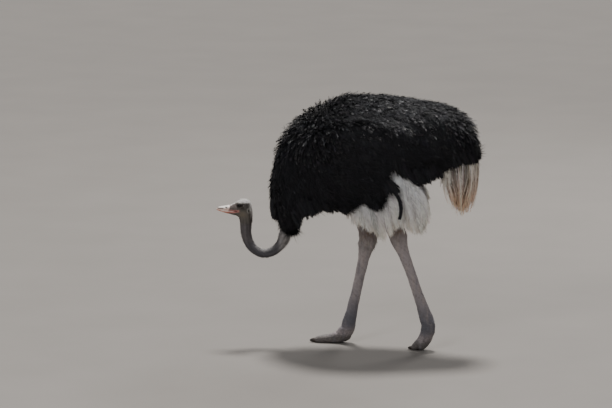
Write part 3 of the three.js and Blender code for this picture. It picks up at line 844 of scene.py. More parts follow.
eye_finish = finish("eye_finish", 0.07, (0.10, 0.0015), (0.004, 0.00001), IOR=1.38)
for side, word in SIDES.items():
    dress(make_piece(f"eyeball_{word}", *eyeball(side)), eye_finish, "eye", f"eye_{word}")

BLADE_LOCAL = array([(0.3, 0.0), (0.7, 0.0), (0.35, 0.5), (0.65, 0.5), (0.5, 1.0)])


def blades(starts, ways, bends, long, wide, facing):
    """Thin tapering blades (n, 5, 3) that start one way and bend another."""
    wide = unit(cross(ways, facing)) * wide[:, None]
    half = 0.5 * long[:, None]
    mid = starts + ways * half
    tip = mid + unit(ways + bends) * half
    return stack([starts - wide, starts + wide, mid - 0.7 * wide, mid + 0.7 * wide, tip], axis=1)


def lashes(side, rng, upper=34, lower=14):
    """Black lashes from the upper lid, with a few short ones below."""
    turn = concatenate([linspace(0.10, 0.92, upper), linspace(1.15, 1.85, lower)]) * pi
    line, across = lid_line(turn)
    outward, is_upper = unit(line), sin(turn) > 0
    ways = outward + 0.25 * sign(sin(turn))[:, None] * eye_up + 0.03 * across[:, None] * eye_front
    ways = unit(ways + rng.normal(0, 0.08, ways.shape))
    bends = where(is_upper[:, None], 0.55 * eye_up + 0.3 * eye_front, -0.5 * eye_up)
    long = where(is_upper, rng.uniform(9.0, 12.5, len(turn)), rng.uniform(3, 5, len(turn)))
    long = long * (1 - 0.5 * ease(0.1, 0.8, cos(turn)))
    made = blades(line + outward * 1.2, ways, bends, long, np.full(len(turn), 0.38), eye_front)
    return (EYE + made * MM) * (1, side, 1)


lash_rng = default_rng(71)
coat = Coat()
for side in SIDES:
    made = lashes(side, lash_rng)
    chart = around(made[:, 0], EYE * (1, 0, 1), EYE * (1, side, 1))
    coat.add(made, BLADE, rgb(20, 17, 16), chart, BLADE_LOCAL)
coat.dress("lashes", finish("lash_finish", 0.5, (0.2, 0.002)), "black_plumage")

# --- Bill
bill_finish = finish("bill_finish", 0.38, (0.10, 0.008), (0.0012, 0.00012), Specular_IOR_Level=0.45)
for half in ("upper", "lower"):
    vertices, quads, _ = fused([node_mesh(f"bill_{half}")], 0.0013, 4)
    faces = halved(quads)
    normals = vertex_normals(vertices, faces)
    back, above = mouth_place(vertices)
    base = ease(BILL_LENGTH - 7, BILL_LENGTH, back)
    tip = ease(22, 10, back)
    relief = 0.12 * wobble(vertices, 0.006, 43) - 0.7 * base + 0.4 * tip
    if half == "upper":
        off = (mirrored(vertices) - NOSTRIL) / MM
        slant, across = off[:, 0] * 0.98 - off[:, 2] * 0.20, off[:, 2] * 0.98 + off[:, 0] * 0.20
        nostril = ease(1.3, 0.6, sqrt((slant / 6.8) ** 2 + (across / 3.0) ** 2))
        slit_gap = above - interp(back, (8, 46, 58), (7.5, 9.0, 12.0))
        slit = hump(slit_gap, 0, 2.3) * ease(5, 10, back) * ease(45, 36, back)
        ridge = ease(0.5, 3.5, slit_gap) * ease(-0.3, 0.3, normals[:, 2])
        relief += 1.0 * ridge * (1 - base) - 1.8 * slit - 2.6 * nostril + 0.5 * hump(above, 1.4, 1.2)
        tint = layered(
            rgb(226, 202, 190),
            # painted highlight: the upward-facing ridge of the upper bill is near white
            ((240, 232, 226), ridge),
            ((176, 128, 116), hump(back, 58, 10) * ease(13, 6, above) * 0.6),
            # painted shadow in the slit under the ridge, and painted shade in the nostril
            ((46, 34, 30), clip(slit * 1.2 + nostril, 0, 1)),
            ((216, 172, 158), ease(3.0, 0.8, above) * 0.6),
        )
    else:
        relief += 0.6 * hump(above, -1.6, 1.4) - 0.6 * hump(above, -5.6, 1.5) * (1 - tip)
        tint = layered(
            rgb(188, 120, 98),
            ((218, 140, 116), ease(-13, -8, above)),
            ((128, 66, 54), hump(above, -14.5, 1.6) * ease(30, 50, back) * 0.7),
            # the lower bill's pale top rim, brightened as a painted highlight
            ((252, 232, 224), ease(-7.2, -5.4, above) * ease(20, 34, back)),
        )
    tint = layered(tint, ((112, 62, 56), ease(0.8, 0.1, abs(above)) * 0.7), ((168, 106, 96), base * 0.5))
    tint = tint * (1 + 0.07 * wobble(vertices, 0.012, 41) + 0.05 * wobble(vertices, 0.004, 42))[:, None]
    vertices = vertices + normals * (relief * MM)[:, None] + columns(base * 0.0035, 0, 0)
    piece = make_piece(f"horn_{half}", vertices, faces, clip(tint, 0, 1))
    dress(piece, bill_finish, "bill_horn", f"bill_{half}")

# --- Claws
claw_finish = finish("claw_finish", 0.42, (0.25, 0.004), (0.0009, 0.0002), Specular_IOR_Level=0.4)
for kind in [f"{kind}_{word}" for word in SIDES.values() for kind in ("big", "outer")]:
    vertices, faces, _ = fused([node_mesh(f"claw_{kind}")], 0.0011, 3)
    low, high = vertices.min(axis=0), vertices.max(axis=0)
    out, _, tall = ((vertices - low) / (high - low)).T
    out = 1 - out
    ridges = sin(out * 60 + 3 * wobble(vertices, 0.02, 51)) * ease(0.9, 0.5, out)
    shaped = vertices + vertex_normals(vertices, faces) * (0.00012 * ridges - 0.0003)[:, None]
    tint = layered(
        rgb(70, 60, 54), ((34, 29, 27), ease(0.1, 0.7, out)), ((112, 100, 90), ease(0.35, 0.0, tall) * 0.5)
    )
    dress(make_piece(f"nail_{kind}", shaped, faces, tint), claw_finish, "claw_horn", f"claw_{kind}")

# --- Scutes on the shins and toes
# Centre lines of the toes, [forward of the ankle, height] in mm, as the CAD's.
FLAT_TOE = [(22, 47), (52, 29), (92, 21), (126, 18), (152, 15), (170, 11)]
ROLLING_TOE = [(0, 104), (13, 70), (34, 41), (57, 23), (75, 14), (85, 10)]
OUTER_SPLAY, OUTER_REACH = 0.42, 0.62
PLATE_ROWS, PLATE_CELLS = (0.0, 0.35, 0.75, 1.0, 1.06), 9  # where a plate's rows lie along it
scute_rng = default_rng(81)
skin_tree = tree_of(flesh, flesh_faces)


def plates(line, out, half_turn):
    """Overlapping curved plates along a line of centres (n, 3), on the side that out (3,) points to."""
    made = []
    for start, end in zip(line[:-1], line[1:]):
        run = unit(end - start)
        up = flat(out, run)
        across = cross(run, up)
        turn = half_turn * scute_rng.uniform(0.9, 1.05)
        for share in PLATE_ROWS:
            for j in linspace(-1, 1, PLATE_CELLS):
                spot = start + (end - start) * (share * 1.12) * (1 - 0.18 * j**4 * share)
                way = up * cos(j * turn) + across * sin(j * turn)
                hit = skin_tree.ray_cast(Vector(spot + way * 0.09), Vector(-way))[0]
                surface = spot + way * 0.02 if hit is None else array(hit)
                rise = (0.0002 + 0.0011 * share**1.5) * (1 - j**6) - 0.0006 * abs(j) ** 6
                made.append(surface + way * (rise if share <= 1 else -0.0006))
    return array(made).reshape(len(line) - 1, -1, 3)


def even_line(points, spacing):
    """A line of points a spacing apart along the points given."""
    arc = concatenate([[0], np.cumsum(norm(np.diff(points, axis=0), axis=1))])
    return between(points, arange(0, arc[-1], spacing), arc)


coat = Coat()
row_place = repeat(PLATE_ROWS, PLATE_CELLS)
plate_local = columns(tile(linspace(0, 1, PLATE_CELLS), len(PLATE_ROWS)), row_place / 1.06)
shade = (1 - 0.25 * ease(0.8, 1.06, row_place))[:, None]
plate_faces = halved(grid(len(PLATE_ROWS), PLATE_CELLS))
for side, (hock, ankle) in LEGS.items():
    fore = leg_run(hock, ankle)[2]
    shin = even_line(hock + (ankle - hock) * array([[0.15], [0.95]]), 0.0135)
    lines = [(shin, fore, 0.85)]
    toe = array(FLAT_TOE if side == RIGHT else ROLLING_TOE) * MM
    for splay, reach, spacing in ((0.0, 1.0, 0.0085), (OUTER_SPLAY, OUTER_REACH, 0.0065)):
        ahead = array((-cos(splay), sin(splay) * side, 0))
        spots = ankle * (1, 1, 0) + ahead * toe[:, :1] * reach
        spots = spots + columns(0, 0, toe[:, 1] * min(reach * 1.3, 1))
        lines.append((even_line(spots[1:] if splay else spots, spacing), (0, 0, 1.0) - ahead * 0.2, 0.8))
    for line, out, half_turn in lines:
        made = plates(line, out, half_turn)
        centre = made.mean(axis=1)
        colour = 1.04 * leg_colours(centre)[:, None] * scute_rng.uniform(0.86, 1.12, (len(made), 1, 1))
        chart = around(centre, hock, ankle * (1, 1, 0), up=(1.0, 0, 0))
        coat.add(made, plate_faces, colour * shade, chart, plate_local)
scute_finish = finish("scute_finish", 0.5, (0.10, 0.006), (0.0011, 0.0003), Specular_IOR_Level=0.4)
coat.dress("leg_scutes", scute_finish, "leg_skin", smooth=True)

# --- Down and bristles
WISP = 3  # blades in a tuft
WISP_FACES = concatenate([BLADE + 5 * k for k in range(WISP)])
WISP_LOCAL = tile(BLADE_LOCAL, (WISP, 1))
WISP_TIPS = WISP_LOCAL[:, 1:]  # 0 at a blade's root, 1 at its tip
NECK_DOWN, HEAD_DOWN, BRISTLES = 82000, 210000, 16000  # tufts per square metre
flesh_normals = vertex_normals(flesh, flesh_faces)


def wisps(places, normals, ways, long, wide, stand, rng):
    """Tufts of a few thin blades that start together."""
    parts, count = [], len(places)
    for _ in range(WISP):
        way = flat(ways + rng.normal(0, 0.28, ways.shape), normals)
        up = (stand * rng.uniform(0.5, 1.5, count))[:, None] * normals
        start = places - 0.0006 * normals + rng.normal(0, 0.0008, places.shape)
        size = long * rng.uniform(0.7, 1.25, count), wide * rng.uniform(0.8, 1.2, count)
        parts.append(blades(start, unit(way + up), -0.5 * up, *size, normals))
    return concatenate(parts, axis=1)


rng = default_rng(91)
x, _, z = flesh.T
is_neck = ((x < SHIFT - 0.29) & (z < 0.65)) | near_head(flesh) | (x < SHIFT - 0.45)


def down_density(places):
    on_head = near_head(places)
    return NECK_DOWN * ease(-0.30, -0.33, places[:, 0] - SHIFT) * ~on_head + HEAD_DOWN * on_head


faces = flesh_faces[is_neck[flesh_faces].all(axis=1)]
spot, normal = scattered(flesh, faces, flesh_normals, down_density, rng)
*_, outward, _, almond = eye_place(spot)
back, above = mouth_place(spot)
ear, out_of_ear = ear_place(spot)
clear = ((almond > 2.0) | (outward < 0)) & ((ear > 1.1) | (abs(out_of_ear) > 14))
clear &= ~((above > -18) & (above < 8) & (back < MOUTH_LENGTH + 6)) & (back > BILL_LENGTH + 3)
spot, normal, ear = spot[clear], normal[clear], ear[clear]
way, place, aside = neck_run(spot)
x, y, z = lengths(spot)
on_head = near_head(spot)
way[on_head] += (0.3, 0, -0.1)
on_top = ease(0.2, 0.7, normal[:, 2]) * on_head * ease(0.735, 0.745, z)
on_rear = ease(0.4, 0.8, normal[:, 0]) * ease(0.60, 0.68, z)
at_base = ease(-0.375, -0.335, x)
lit = ease(0.25, 0.80, normal[:, 2]) * ~on_head * (1 - at_base)
long = where(on_head, 0.0042, 0.0082) + 0.0045 * on_top + 0.003 * hump(ear, 1.7, 0.6) * on_head
long = long + 0.015 * at_base + 0.003 * lit
wide = where(on_head, 0.00022, 0.00034) + 0.0003 * at_base
stand = where(on_head, 0.25, 0.40) + 0.40 * clip(on_top + on_rear, 0, 1) + 0.15 * at_base + 0.25 * lit
made = wisps(spot, normal, way, long, wide, stand, rng)
colour = bare_colours(spot, normal)[:, None] * array((1.0, 1.3))[:, None]
colour = colour * rng.uniform(0.78, 1.22, (len(spot), 1, 1)) * (1 + rng.normal(0, 0.03, (len(spot), 1, 3)))
colour[:, 1] = layered(colour[:, 1], ((238, 234, 230), lit * 0.85))
# The down at the neck's base: partly its grey colour, partly painted sunlight that makes it paler.
base_tone = two_tone((120, 117, 118), (206, 202, 200), len(spot), rng, 0.7, 0.03)
colour = blend(clip(colour, 0, 0.78), base_tone, (at_base * 0.8)[:, None])
chart = 0.02 + 0.96 * columns(np.arctan2(y, aside) / (2 * pi) + 0.5, place)
coat = Coat()
coat.add(made, WISP_FACES, graded(colour, WISP_TIPS), chart, WISP_LOCAL)
down_finish = finish("down_finish", 0.75, (0.12, 0.01), (0.0012, 0.0002), Specular_IOR_Level=0.3)
coat.dress("neck_down", down_finish, "neck_skin")

# Short bristly feathers that hang over the hocks.
rng = default_rng(95)
is_leg = (flesh[:, 2] > 0.5) & (shares[:, LEG] > 0.5)
faces = flesh_faces[is_leg[flesh_faces].all(axis=1)]
coat = Coat()
for side, (hock, _) in LEGS.items():
    low = -0.012 - 0.04 * (side == RIGHT)

    def density(places):
        above = places[:, 2] - hock[2]
        return BRISTLES * (places[:, 1] * side > 0) * ease(low, low + 0.03, above) * ease(0.16, 0.10, above)

    spot, normal = scattered(flesh, faces, flesh_normals, density, rng)
    patchy = wobble(spot, 0.05, 96) + 0.6 * (normal[:, 0] > -0.3) + (0.5 if side == RIGHT else -0.1) > 0.25
    spot, normal = spot[patchy], normal[patchy]
    ways = (0.25, 0, -1.0) + rng.normal(0, 0.12, spot.shape)
    made = wisps(spot, normal, ways, rng.uniform(0.018, 0.034, len(spot)), 0.00055, 0.16, rng)
    colour = two_tone((178, 171, 169), (154, 146, 143), len(spot), rng, 0.4, 0.05)
    colour = layered(colour, ((148, 120, 96), 0.6 * ease(-0.01, 0.05, spot[:, 2:] - hock[2])))
    chart = around(spot, hock + (0, 0, 0.2), hock - (0, 0, 0.05), up=(1.0, 0, 0))
    coat.add(made, WISP_FACES, graded(colour, WISP_TIPS), chart, WISP_LOCAL)
coat.dress("hock_bristles", down_finish, "leg_skin")

# --- The black coat
HULL_VOXEL = 0.0153  # about one feather grows per square of this size
TRUNK_FRONT, TRUNK_REAR = at(-0.42, 0, 0.92), at(0.68, 0, 0.92)
LOBE = at(-0.335, 0, 0.590)  # where the neck comes out of the feathers
TRUNK_BLACK = (32, 32, 36)
# The lower edge of the black feathers from the breast to the tail, [x, z] in mm, as it looks from
# the side in the plane of the wings' faces, EDGE_SIDE mm from the midline.
EDGE_SIDE = 190
EDGE = [
    (-391, 703), (-359, 697), (-347, 644), (-328, 604), (-290, 592), (-266, 611), (-240, 650), (-217, 714),
    (-173, 718), (-120, 748), (-78, 744), (-15, 746), (6, 722), (37, 763), (79, 790), (111, 786),
    (142, 768), (166, 750), (178, 784), (191, 814), (198, 850), (202, 893), (203, 964), (224, 984),
    (258, 966), (294, 938), (342, 918), (381, 888), (419, 900), (468, 921), (505, 940), (520, 985),
    (600, 1003), (700, 1013),
]
LEAN_X, LEAN_Z = 0.14, 0.175  # how far the edge moves forward and down for each mm inward of EDGE_SIDE


def edge_at(x):
    """The height of the ragged lower edge at x, both in mm."""
    return interp(x, *array(EDGE).T) + 7 * wobble(columns(x, 0, 0), 27, 18)


def past_edge(points, margin):
    """Whether points hang below the lower edge of the black, or less than margin mm above it."""
    x, y, z = lengths(points) / MM
    inward = EDGE_SIDE - abs(y)
    behind_neck = ease(-300, -280, x) * ease(-190, -215, x)
    x = x + LEAN_X * (inward + 2 * behind_neck * (EDGE_SIDE - inward))
    return z + LEAN_Z * inward < edge_at(x) + margin


# The hull that the long feathers grow from: the trunk and wings, drawn in from the feather tips.
parts = [node_mesh(node) for node in ("trunk", "wing_left", "wing_right")]
hull, hull_faces, edges = fused(parts, HULL_VOXEL, 5)
x, _, z = lengths(hull)
filled = softened(hull, edges, 14)
hull = blend(hull, filled, ease(1.10, 1.16, z) * ease(1.29, 1.26, z) * ease(-0.16, -0.08, x))
hull_normals = unit(softened(vertex_normals(hull, hull_faces), edges, 3))
sunk = 0.007 + 0.015 * ease(0.46, 0.64, x) + 0.006 * ease(0.62, 0.68, x)
sunk += 0.005 * ease(1.16, 1.28, z) * ease(0.15, -0.05, x)
sunk += 0.008 * ease(0.74, 0.66, z) * ease(-0.22, -0.28, x)
sunk += 0.012 * ease(0.235, 0.275, abs(hull[:, 1]))
slope = (hull_normals[:, 2] - hull_normals[:, 0]) * 0.7
sunk += 0.015 * ease(0.4, 0.8, slope) * ease(-0.02, -0.12, x) * ease(0.85, 1.0, z)
hull = hull - hull_normals * sunk[:, None]
hull_tree = tree_of(hull, hull_faces)


def onto_hull(points):
    """The nearest places on the hull, and its smooth normals there."""
    found = [hull_tree.find_nearest(Vector(p)) for p in points]
    places = array([f[0] for f in found])
    corners = hull_faces[[f[2] for f in found]]
    weights = 1 / (norm(hull[corners] - places[:, None], axis=2) + 1e-5)
    return places, unit((hull_normals[corners] * weights[..., None]).sum(axis=1))


def lie(points, normals):
    """The way that feathers point on the body, before it's laid along the surface."""
    x, y, z = lengths(points)
    sideways = 0.3 * np.tanh(y / 0.05)
    way = blend(columns(0.80, sideways, -0.60), columns(0.30, sideways, -0.95), ease(-0.05, -0.30, x))
    way = blend(way, columns(0.38, sideways, -0.92), ease(0.42, 0.60, x))
    way = blend(way, (1, 0, -0.1), ease(-0.45, -0.85, normals[:, 2]))
    return blend(way, (-0.12, 0, -1), ease(0.76, 0.68, z) * ease(-0.21, -0.26, x))


STEPS, POINTS = 9, 7  # places where a feather is laid on the hull, and points on its final path
SINK = 0.030  # how deep a feather's root lies under the hull
rng = default_rng(11)
neck_gap = norm(hull - LOBE, axis=1)
root, neck_gap = hull[neck_gap > 0.034], neck_gap[neck_gap > 0.034]
root = root + rng.normal(0, 0.0045, root.shape)
x, _, z = lengths(root)
length = 0.135 + 0.045 * ease(1.15, 0.95, z) - 0.05 * ease(1.2, 1.3, z)
length = length * (1 - 0.62 * ease(0.16, 0.05, neck_gap)) * rng.uniform(0.78, 1.22, len(root))
half = clip(0.22 * length, 0.010, 0.037) * rng.uniform(0.8, 1.2, len(root))
place, normal = onto_hull(root)
heading = lie(place, normal) + rng.normal(0, 0.16, place.shape)
track, gaps = [(place, normal)], [np.zeros(len(place))]
droops = ease(0.55, 0.63, x) * ease(1.16, 1.10, z)
for _ in range(STEPS - 1):
    ahead = place + flat(heading, normal) * (length / (STEPS - 1))[:, None]
    near, near_normal = onto_hull(ahead)
    turned = np.sum(near_normal * track[0][1], axis=-1)
    hold = (0.82 * ease(-0.15, 0.55, turned) * (1 - 0.5 * droops))[:, None]
    place = ahead * (1 - hold) + near * hold
    normal = unit(normal * (1 - hold) + near_normal * hold)
    heading = 0.55 * heading + 0.45 * (lie(place, normal) + (heading - lie(*track[-1])))
    track.append((place, normal))
    gaps.append(norm(place - near, axis=1))
track, track_normals = stack(track, axis=2)
loose = 0.012 + 0.034 * ease(0.55, 0.63, x)[:, None]  # how far a feather may hang past an edge of the body
over = (stack(gaps, axis=1) > loose) | past_edge(track, rng.uniform(4, 20, (len(root), 1)))
last = where(over.any(axis=1), np.argmax(over, axis=1), STEPS - 1)
share = last / (STEPS - 1)
half = half * clip(share * 1.6, 0.4, 1)
track, track_normals, share, half, root = (v[last > 1] for v in (track, track_normals, share, half, root))
s = linspace(0, 1, POINTS)
paths, normals = along(track, s * share[:, None]), unit(along(track_normals, s * share[:, None]))
lifted = rng.normal(0, 0.0045, (len(root), 1))
paths = paths + normals * (-SINK * (1 - s) ** 1.6 + lifted * s**2 - 0.003 * s * (1 - s))[..., None]
black = two_tone(TRUNK_BLACK, (30, 30, 34), len(root), rng, 0.45, 0.05)
black_finish = finish(
    "black_plumage_finish", 0.6, (0.35, 0.004), (0.0012, 0.0003), Specular_IOR_Level=0.18
)
feathers = paths, normals, half, black, around(root, TRUNK_FRONT, TRUNK_REAR)
SECTIONS = ("coat_front", "coat_shoulder", "coat_side", "coat_flank", "coat_rump")
cuts = np.quantile(root[:, 0], linspace(0, 1, len(SECTIONS) + 1)[1:-1])
section_of = np.searchsorted(cuts, root[:, 0], side="right")
for i, section in enumerate(SECTIONS):
    coat = Coat()
    plumes(coat, *(v[section_of == i] for v in feathers), rng, barbs=11, barb_width=0.0026)
    stood_for = ("wing_left", "wing_right") if section == "coat_side" else ()
    coat.dress(section, black_finish, "black_plumage", *stood_for)

# Short tufts over the long feathers: they curl up from the body and break its outline.
rng = default_rng(17)


def tuft_density(places):
    x, _, z = lengths(places)
    spread = ease(0.10, -0.10, x) * ease(0.95, 1.08, z) + ease(1.06, 1.16, z) + ease(0.46, 0.58, x)
    return 800 + 4900 * clip(spread + ease(-0.31, -0.37, x) + 0.6 * ease(0.80, 0.74, z), 0, 1)


spot, normal = scattered(hull, hull_faces, hull_normals, tuft_density, rng)
clear = (norm(spot - LOBE, axis=1) > 0.045) & ~past_edge(spot, 14)
spot, normal = spot[clear], normal[clear]
count = len(spot)
x, _, z = lengths(spot)
shoulder = ease(0.06, -0.12, x) * ease(0.95, 1.10, z)
rump = ease(0.46, 0.60, x)
top = ease(1.10, 1.20, z) * ease(-0.12, 0.08, x)
flow = flat(lie(spot, normal) + rng.normal(0, 0.30, spot.shape), normal)
stand = 0.42 + 0.62 * shoulder + 0.55 * rump + 0.25 * ease(-0.31, -0.37, x) * (1 - shoulder)
stand = clip(stand - 0.22 * top * (1 - rump) + rng.normal(0, 0.25, count), 0.12, 1.6)[:, None]
long = rng.uniform(0.020, 0.036, count) * (1 + 0.30 * shoulder + 0.2 * rump + 0.25 * top)
# Grey flecks on the upper back and shoulder are painted glints of light on feather tips.
glint_zone = ease(1.10, 1.20, z) * ease(-0.07, 0.10, x) * ease(0.52, 0.38, x)
glinting = rng.random(count) < 0.46 * glint_zone + 0.02 * shoulder
s = linspace(0, 1, 4)[:, None]
rise = normal[:, None] * (stand[:, None] * (s - 0.38 * s**2))
paths = spot[:, None] + long[:, None, None] * (flow[:, None] * s + rise) - 0.008 * normal[:, None]
facing = unit(normal - flow * 0.4 + rng.normal(0, 0.35, spot.shape))
plain = two_tone(TRUNK_BLACK, (46, 45, 47), count, rng, 0.45, 0.05)
glint_tint = two_tone((74, 74, 76), (120, 119, 120), count, rng, 0.5, 0.02)
glint_tint *= (1 - 0.6 * shoulder * (1 - top))[:, None, None]
tint = where(glinting[:, None, None], glint_tint, plain)
half = rng.uniform(0.006, 0.010, count) * where(glinting, 1.1, 1.0)
tufts = paths, facing[:, None], half, tint, around(spot, TRUNK_FRONT, TRUNK_REAR)
in_front = spot[:, 0] < np.quantile(spot[:, 0], 0.5)
shape = {"barbs": 6, "angles": (0.6, 0.2), "barb_width": 0.0030, "fluff": 0.25, "ragged": 0.35}
for name, chosen in (("tufts_front", in_front), ("tufts_rear", ~in_front)):
    coat = Coat()
    plumes(coat, *(v[chosen] for v in tufts), rng, **shape)
    coat.dress(name, black_finish, "black_plumage")

# --- White wing plumes and tail
# Bunches of long feathers, as the CAD's, in millimetres:
# [root x, root y, root z, tip x, tip y, tip z, half width, bow towards +x], where y is the distance from
# the midline.
FRONT_ROWS = [
    (-14, 180, 800, 2, 174, 738, 18, 18), (14, 182, 806, 44, 172, 706, 26, 18),
    (30, 184, 815, 88, 170, 686, 30, 18), (50, 184, 830, 128, 168, 662, 32, 18),
    (76, 184, 835, 164, 166, 636, 32, 18), (104, 184, 835, 194, 164, 612, 30, 18),
    (134, 184, 842, 222, 166, 632, 28, 18), (168, 184, 858, 250, 168, 660, 26, 18),
    (204, 182, 890, 272, 170, 690, 24, 18),
]
REAR_ROWS = [
    (210, 182, 950, 294, 170, 672, 26, 10), (238, 180, 950, 330, 170, 652, 30, 14),
    (268, 178, 938, 366, 168, 648, 32, 18), (294, 175, 930, 388, 164, 652, 32, 18),
    (320, 170, 915, 402, 160, 676, 28, 18), (342, 164, 900, 416, 158, 706, 22, 18),
    (356, 160, 886, 424, 156, 746, 16, 18),
]
TAIL_ROWS = [
    (644, 30, 1030, 617, 26, 772, 11, 44), (635, 84, 1022, 604, 70, 758, 11, 36),
    (605, -6, 1030, 584, -6, 748, 11, 22), (577, 92, 1014, 576, 66, 746, 11, 4),
    (538, 16, 1002, 560, 10, 754, 11, -20), (507, 80, 996, 544, 60, 778, 11, -36),
]
CURL_ROWS = [
    (500, 86, 985, 500, 78, 910, 12, -6), (512, 78, 985, 508, 68, 880, 12, -8),
    (530, 90, 985, 520, 76, 862, 11, -8),
]


def arcs(roots, bends, tips, points=8):
    """Smooth paths from roots to tips that are drawn towards bends."""
    t = linspace(0, 1, points)[:, None]
    return roots[:, None] * (1 - t) ** 2 + 2 * bends[:, None] * t * (1 - t) + tips[:, None] * t**2


def hanging(rows, count, side, rng, spread, arch, turn):
    """Paths of loose feathers spread over the rows of a bunch, with their facings and half widths."""
    rows = array(rows) * MM
    rows = between(rows, rng.uniform(0, len(rows) - 1, count))
    roots = rows[:, 0:3] + rng.uniform(-1, 1, (count, 3)) * spread[0]
    tips = rows[:, 3:6] + rng.normal(0, 0.5, (count, 3)) * spread[1]
    bends = (roots + tips) / 2 + columns(rows[:, 7], *arch) * rng.uniform(0.2, 1.6, (count, 1))
    paths = arcs(roots, bends, tips) * (1, side, 1) + (SHIFT, 0, 0)
    facing = unit((0.1, side, 0.2) + rng.normal(0, 0.25, (count, 3)))
    half = rows[:, 6] * rng.uniform(0.6, 1.15, count)
    return paths, unit(facing + turn)[:, None], half


PLUME_COUNT, TAIL_COUNT, CURL_COUNT = 165, 210, 40  # feathers in each bunch, on each side
white_finish = finish("white_plumage_finish", 0.75, (0.10, 0.02), (0.0015, 0.0003))
spread = array((0.010, 0.014, 0.014)), array((0.020, 0.016, 0.026))
shape = {"barbs": 22, "angles": (0.60, 0.22), "fluff": 0.20, "droop": 0.05, "barb_width": 0.0019}
for side, word in SIDES.items():
    rng = default_rng(31 + side)
    far = side == RIGHT
    turn = array((0.3, 0, 0.9)) * far
    for bunch, rows in (("front", FRONT_ROWS), ("rear", REAR_ROWS)):
        paths, normals, half = hanging(rows, PLUME_COUNT, side, rng, spread, (0.012, 0.008), turn)
        paths = paths - (0.036 * far, 0, 0)
        # The roots are a little bluish, a painted shade under the wing; the tips are beige. On the near
        # side some plumes are darkened as painted shade between them.
        tint = two_tone((214, 214, 220), (222, 214, 204), PLUME_COUNT, rng, 0.16, 0.02)
        shadowed = (rng.random(PLUME_COUNT) < 0.11) & (not far)
        tint = clip(tint * where(shadowed, 0.6, 1.22)[:, None, None], 0, 0.88)
        chart = around(paths[:, 0], at(0, side * 0.17, 0.9), at(0.4, side * 0.17, 0.9))
        coat = Coat()
        plumes(coat, paths, normals, half, tint, chart, rng, **shape)
        coat.dress(f"plumes_{bunch}_coat_{word}", white_finish, "white_plumage", f"plumes_{bunch}_{word}")

rng = default_rng(51)
coat = Coat()
spread = array((0.016, 0.018, 0.012)), array((0.026, 0.022, 0.044))
for side in SIDES:
    for rows, count in ((TAIL_ROWS, TAIL_COUNT), (CURL_ROWS, CURL_COUNT)):
        feathers = hanging(rows, count, side, rng, spread, (0.010, 0.006), (0.5, 0, 0))
        if rows is TAIL_ROWS:
            tint = two_tone((252, 244, 236), (238, 196, 164), count, rng, 0.34, 0.05)
            streak = (rng.random(count) < 0.15)[:, None, None]
            tint = where(streak, two_tone((140, 124, 112), (130, 104, 86), count, rng, 0.3, 0.05), tint)
            shape = {"angles": (0.36, 0.12), "fluff": 0.10}
        else:
            tint = two_tone((224, 220, 214), (230, 224, 216), count, rng, 0.08, 0.02)
            shape = {"angles": (0.9, 0.5), "fluff": 0.25}
        chart = around(feathers[0][:, 0], at(0.5, 0, 1.0), at(0.7, 0, 1.0))
        shape.update(barbs=20, droop=0.02, barb_width=0.0018, ragged=0.4)
        plumes(coat, *feathers, clip(tint, 0, 0.85), chart, rng, **shape)
tail_finish = finish("tail_plumage_finish", 0.7, (0.12, 0.012), (0.0015, 0.0003))
coat.dress("tail_coat", tail_finish, "tail_plumage", "tail")

# --- Black fringes
# A long curved feather that has dropped over the white plumes: [x, z] in millimetres.
CURVED_FEATHER = [(215, 905), (240, 874), (264, 850), (283, 822), (293, 784), (292, 744), (284, 714)]
# A black tuft over the roots of the white plumes: its feathers' tips, [x, z] in mm, and their ways.
TUFT = [
    (285, 860, 0.76, -0.65), (282, 853, 0.74, -0.67), (270, 849, 0.69, -0.72), (251, 856, 0.6, -0.8),
    (238, 843, 0.54, -0.84), (225, 832, 0.5, -0.86), (196, 812, 0.45, -0.9), (182, 790, 0.4, -0.9),
]
# How far the wings' and flanks' faces stand from the midline, at each x.
WING_FACE = (
    (-0.25, -0.1, 0.1, 0.24, 0.34, 0.4, 0.5, 0.6, 0.7),
    (0.16, 0.19, 0.22, 0.222, 0.208, 0.18, 0.125, 0.118, 0.08),
)
EDGE_COUNT, TUFT_COUNT, BREAST_COUNT, SHEAF_COUNT = 650, 110, 130, 7  # feathers on each side
SHEAF_POINTS = 14
rng = default_rng(61)
coat = Coat()


def fringe(side, tips, ways, long, half):
    """Adds black feathers that end at tips. tips are given from the midline, in metres."""
    count = len(tips)
    roots = tips - unit(ways) * rng.uniform(*long, count)[:, None]
    half = rng.uniform(*half, count)
    paths = arcs(roots, (roots + tips) / 2 + (0, 0.006, 0), tips, 7) * (1, side, 1) + (SHIFT, 0, 0)
    facing = unit((0, side, 0.1) + rng.normal(0, 0.2, (count, 3)))[:, None]
    tint = two_tone(TRUNK_BLACK, TRUNK_BLACK, count, rng, 0.4, 0.05)
    chart = around(paths[:, 0], TRUNK_FRONT, TRUNK_REAR)
    plumes(coat, paths, facing, half, tint, chart, rng, barbs=13, angles=(0.6, 0.2))


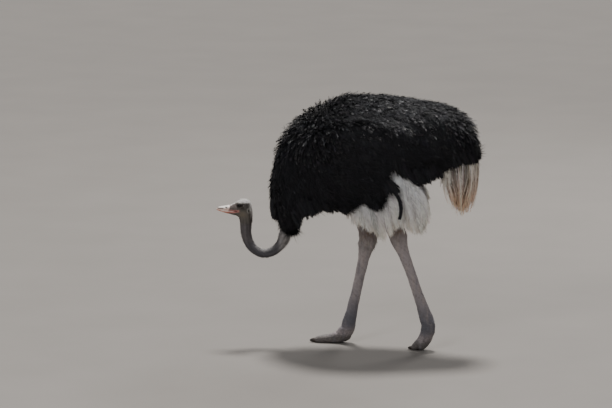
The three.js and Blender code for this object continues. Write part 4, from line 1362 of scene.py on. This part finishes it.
for side in SIDES:
    # Along the wing's and the flank's lower edge.
    x = rng.uniform(-240, 688, EDGE_COUNT)
    out = interp(x * MM, *WING_FACE) + rng.uniform(-0.030, 0.006, len(x))
    inward = EDGE_SIDE * MM - out
    z = (edge_at(x) + rng.uniform(-7, 12, len(x))) * MM - LEAN_Z * inward
    x = x * MM - LEAN_X * inward - 0.006 * ease(170, 195, x) * ease(250, 236, x)
    ways = (0.40, -0.08, -0.9) + rng.normal(0, 0.16, (len(x), 3))
    fringe(side, columns(x, out, z), ways, (0.07, 0.10), (0.009, 0.016))
    # The tuft over the white plumes' roots.
    tuft = between(TUFT, rng.uniform(0, len(TUFT) - 1, TUFT_COUNT))
    out = rng.uniform(0.226, 0.236, TUFT_COUNT)
    inward = EDGE_SIDE * MM - out
    tips = tuft[:, :2] * MM + rng.normal(0, 0.004, (TUFT_COUNT, 2))
    tips = tips - tuft[:, 2:] * rng.uniform(0, 0.02, (TUFT_COUNT, 1))
    tips = columns(tips[:, 0] - LEAN_X * inward, out, tips[:, 1] - LEAN_Z * inward)
    ways = columns(tuft[:, 2], 0.05, tuft[:, 3]) + rng.normal(0, 0.08, (TUFT_COUNT, 3))
    fringe(side, tips, ways, (0.055, 0.08), (0.007, 0.010))
    # Over the breast, hanging straight down in front of the neck's base.
    across = rng.uniform(0.0, 0.085, BREAST_COUNT)
    x = 1.6 * across**2 - 0.399 + rng.normal(0, 0.004, BREAST_COUNT)
    tips = columns(x, across, rng.uniform(0.676, 0.700, BREAST_COUNT))
    ways = (0.02, 0.0, -1.0) + rng.normal(0, 0.05, (BREAST_COUNT, 3))
    fringe(side, tips, ways, (0.07, 0.10), (0.007, 0.012))
    # The curved feather, as a sheaf of thin ones.
    x, z = between(array(CURVED_FEATHER) * MM, linspace(0, len(CURVED_FEATHER) - 1, SHEAF_POINTS)).T
    for k in range(SHEAF_COUNT):
        out = 0.228 - 0.010 * linspace(0, 1, SHEAF_POINTS) + 0.0012 * k
        path = columns(x + 0.0022 * (k - SHEAF_COUNT // 2) + SHIFT, side * out, z)[None]
        tint = two_tone(TRUNK_BLACK, TRUNK_BLACK, 1, rng)
        chart = around(path[:, 0], TRUNK_FRONT, TRUNK_REAR)
        shape = {"barbs": 44, "angles": (0.5, 0.25), "fluff": 0.08}
        plumes(coat, path, (0, side, 0.1), array([0.008]), tint, chart, rng, **shape)
coat.dress("fringe_coat", black_finish, "black_plumage")

bpy.context.view_layer.update()
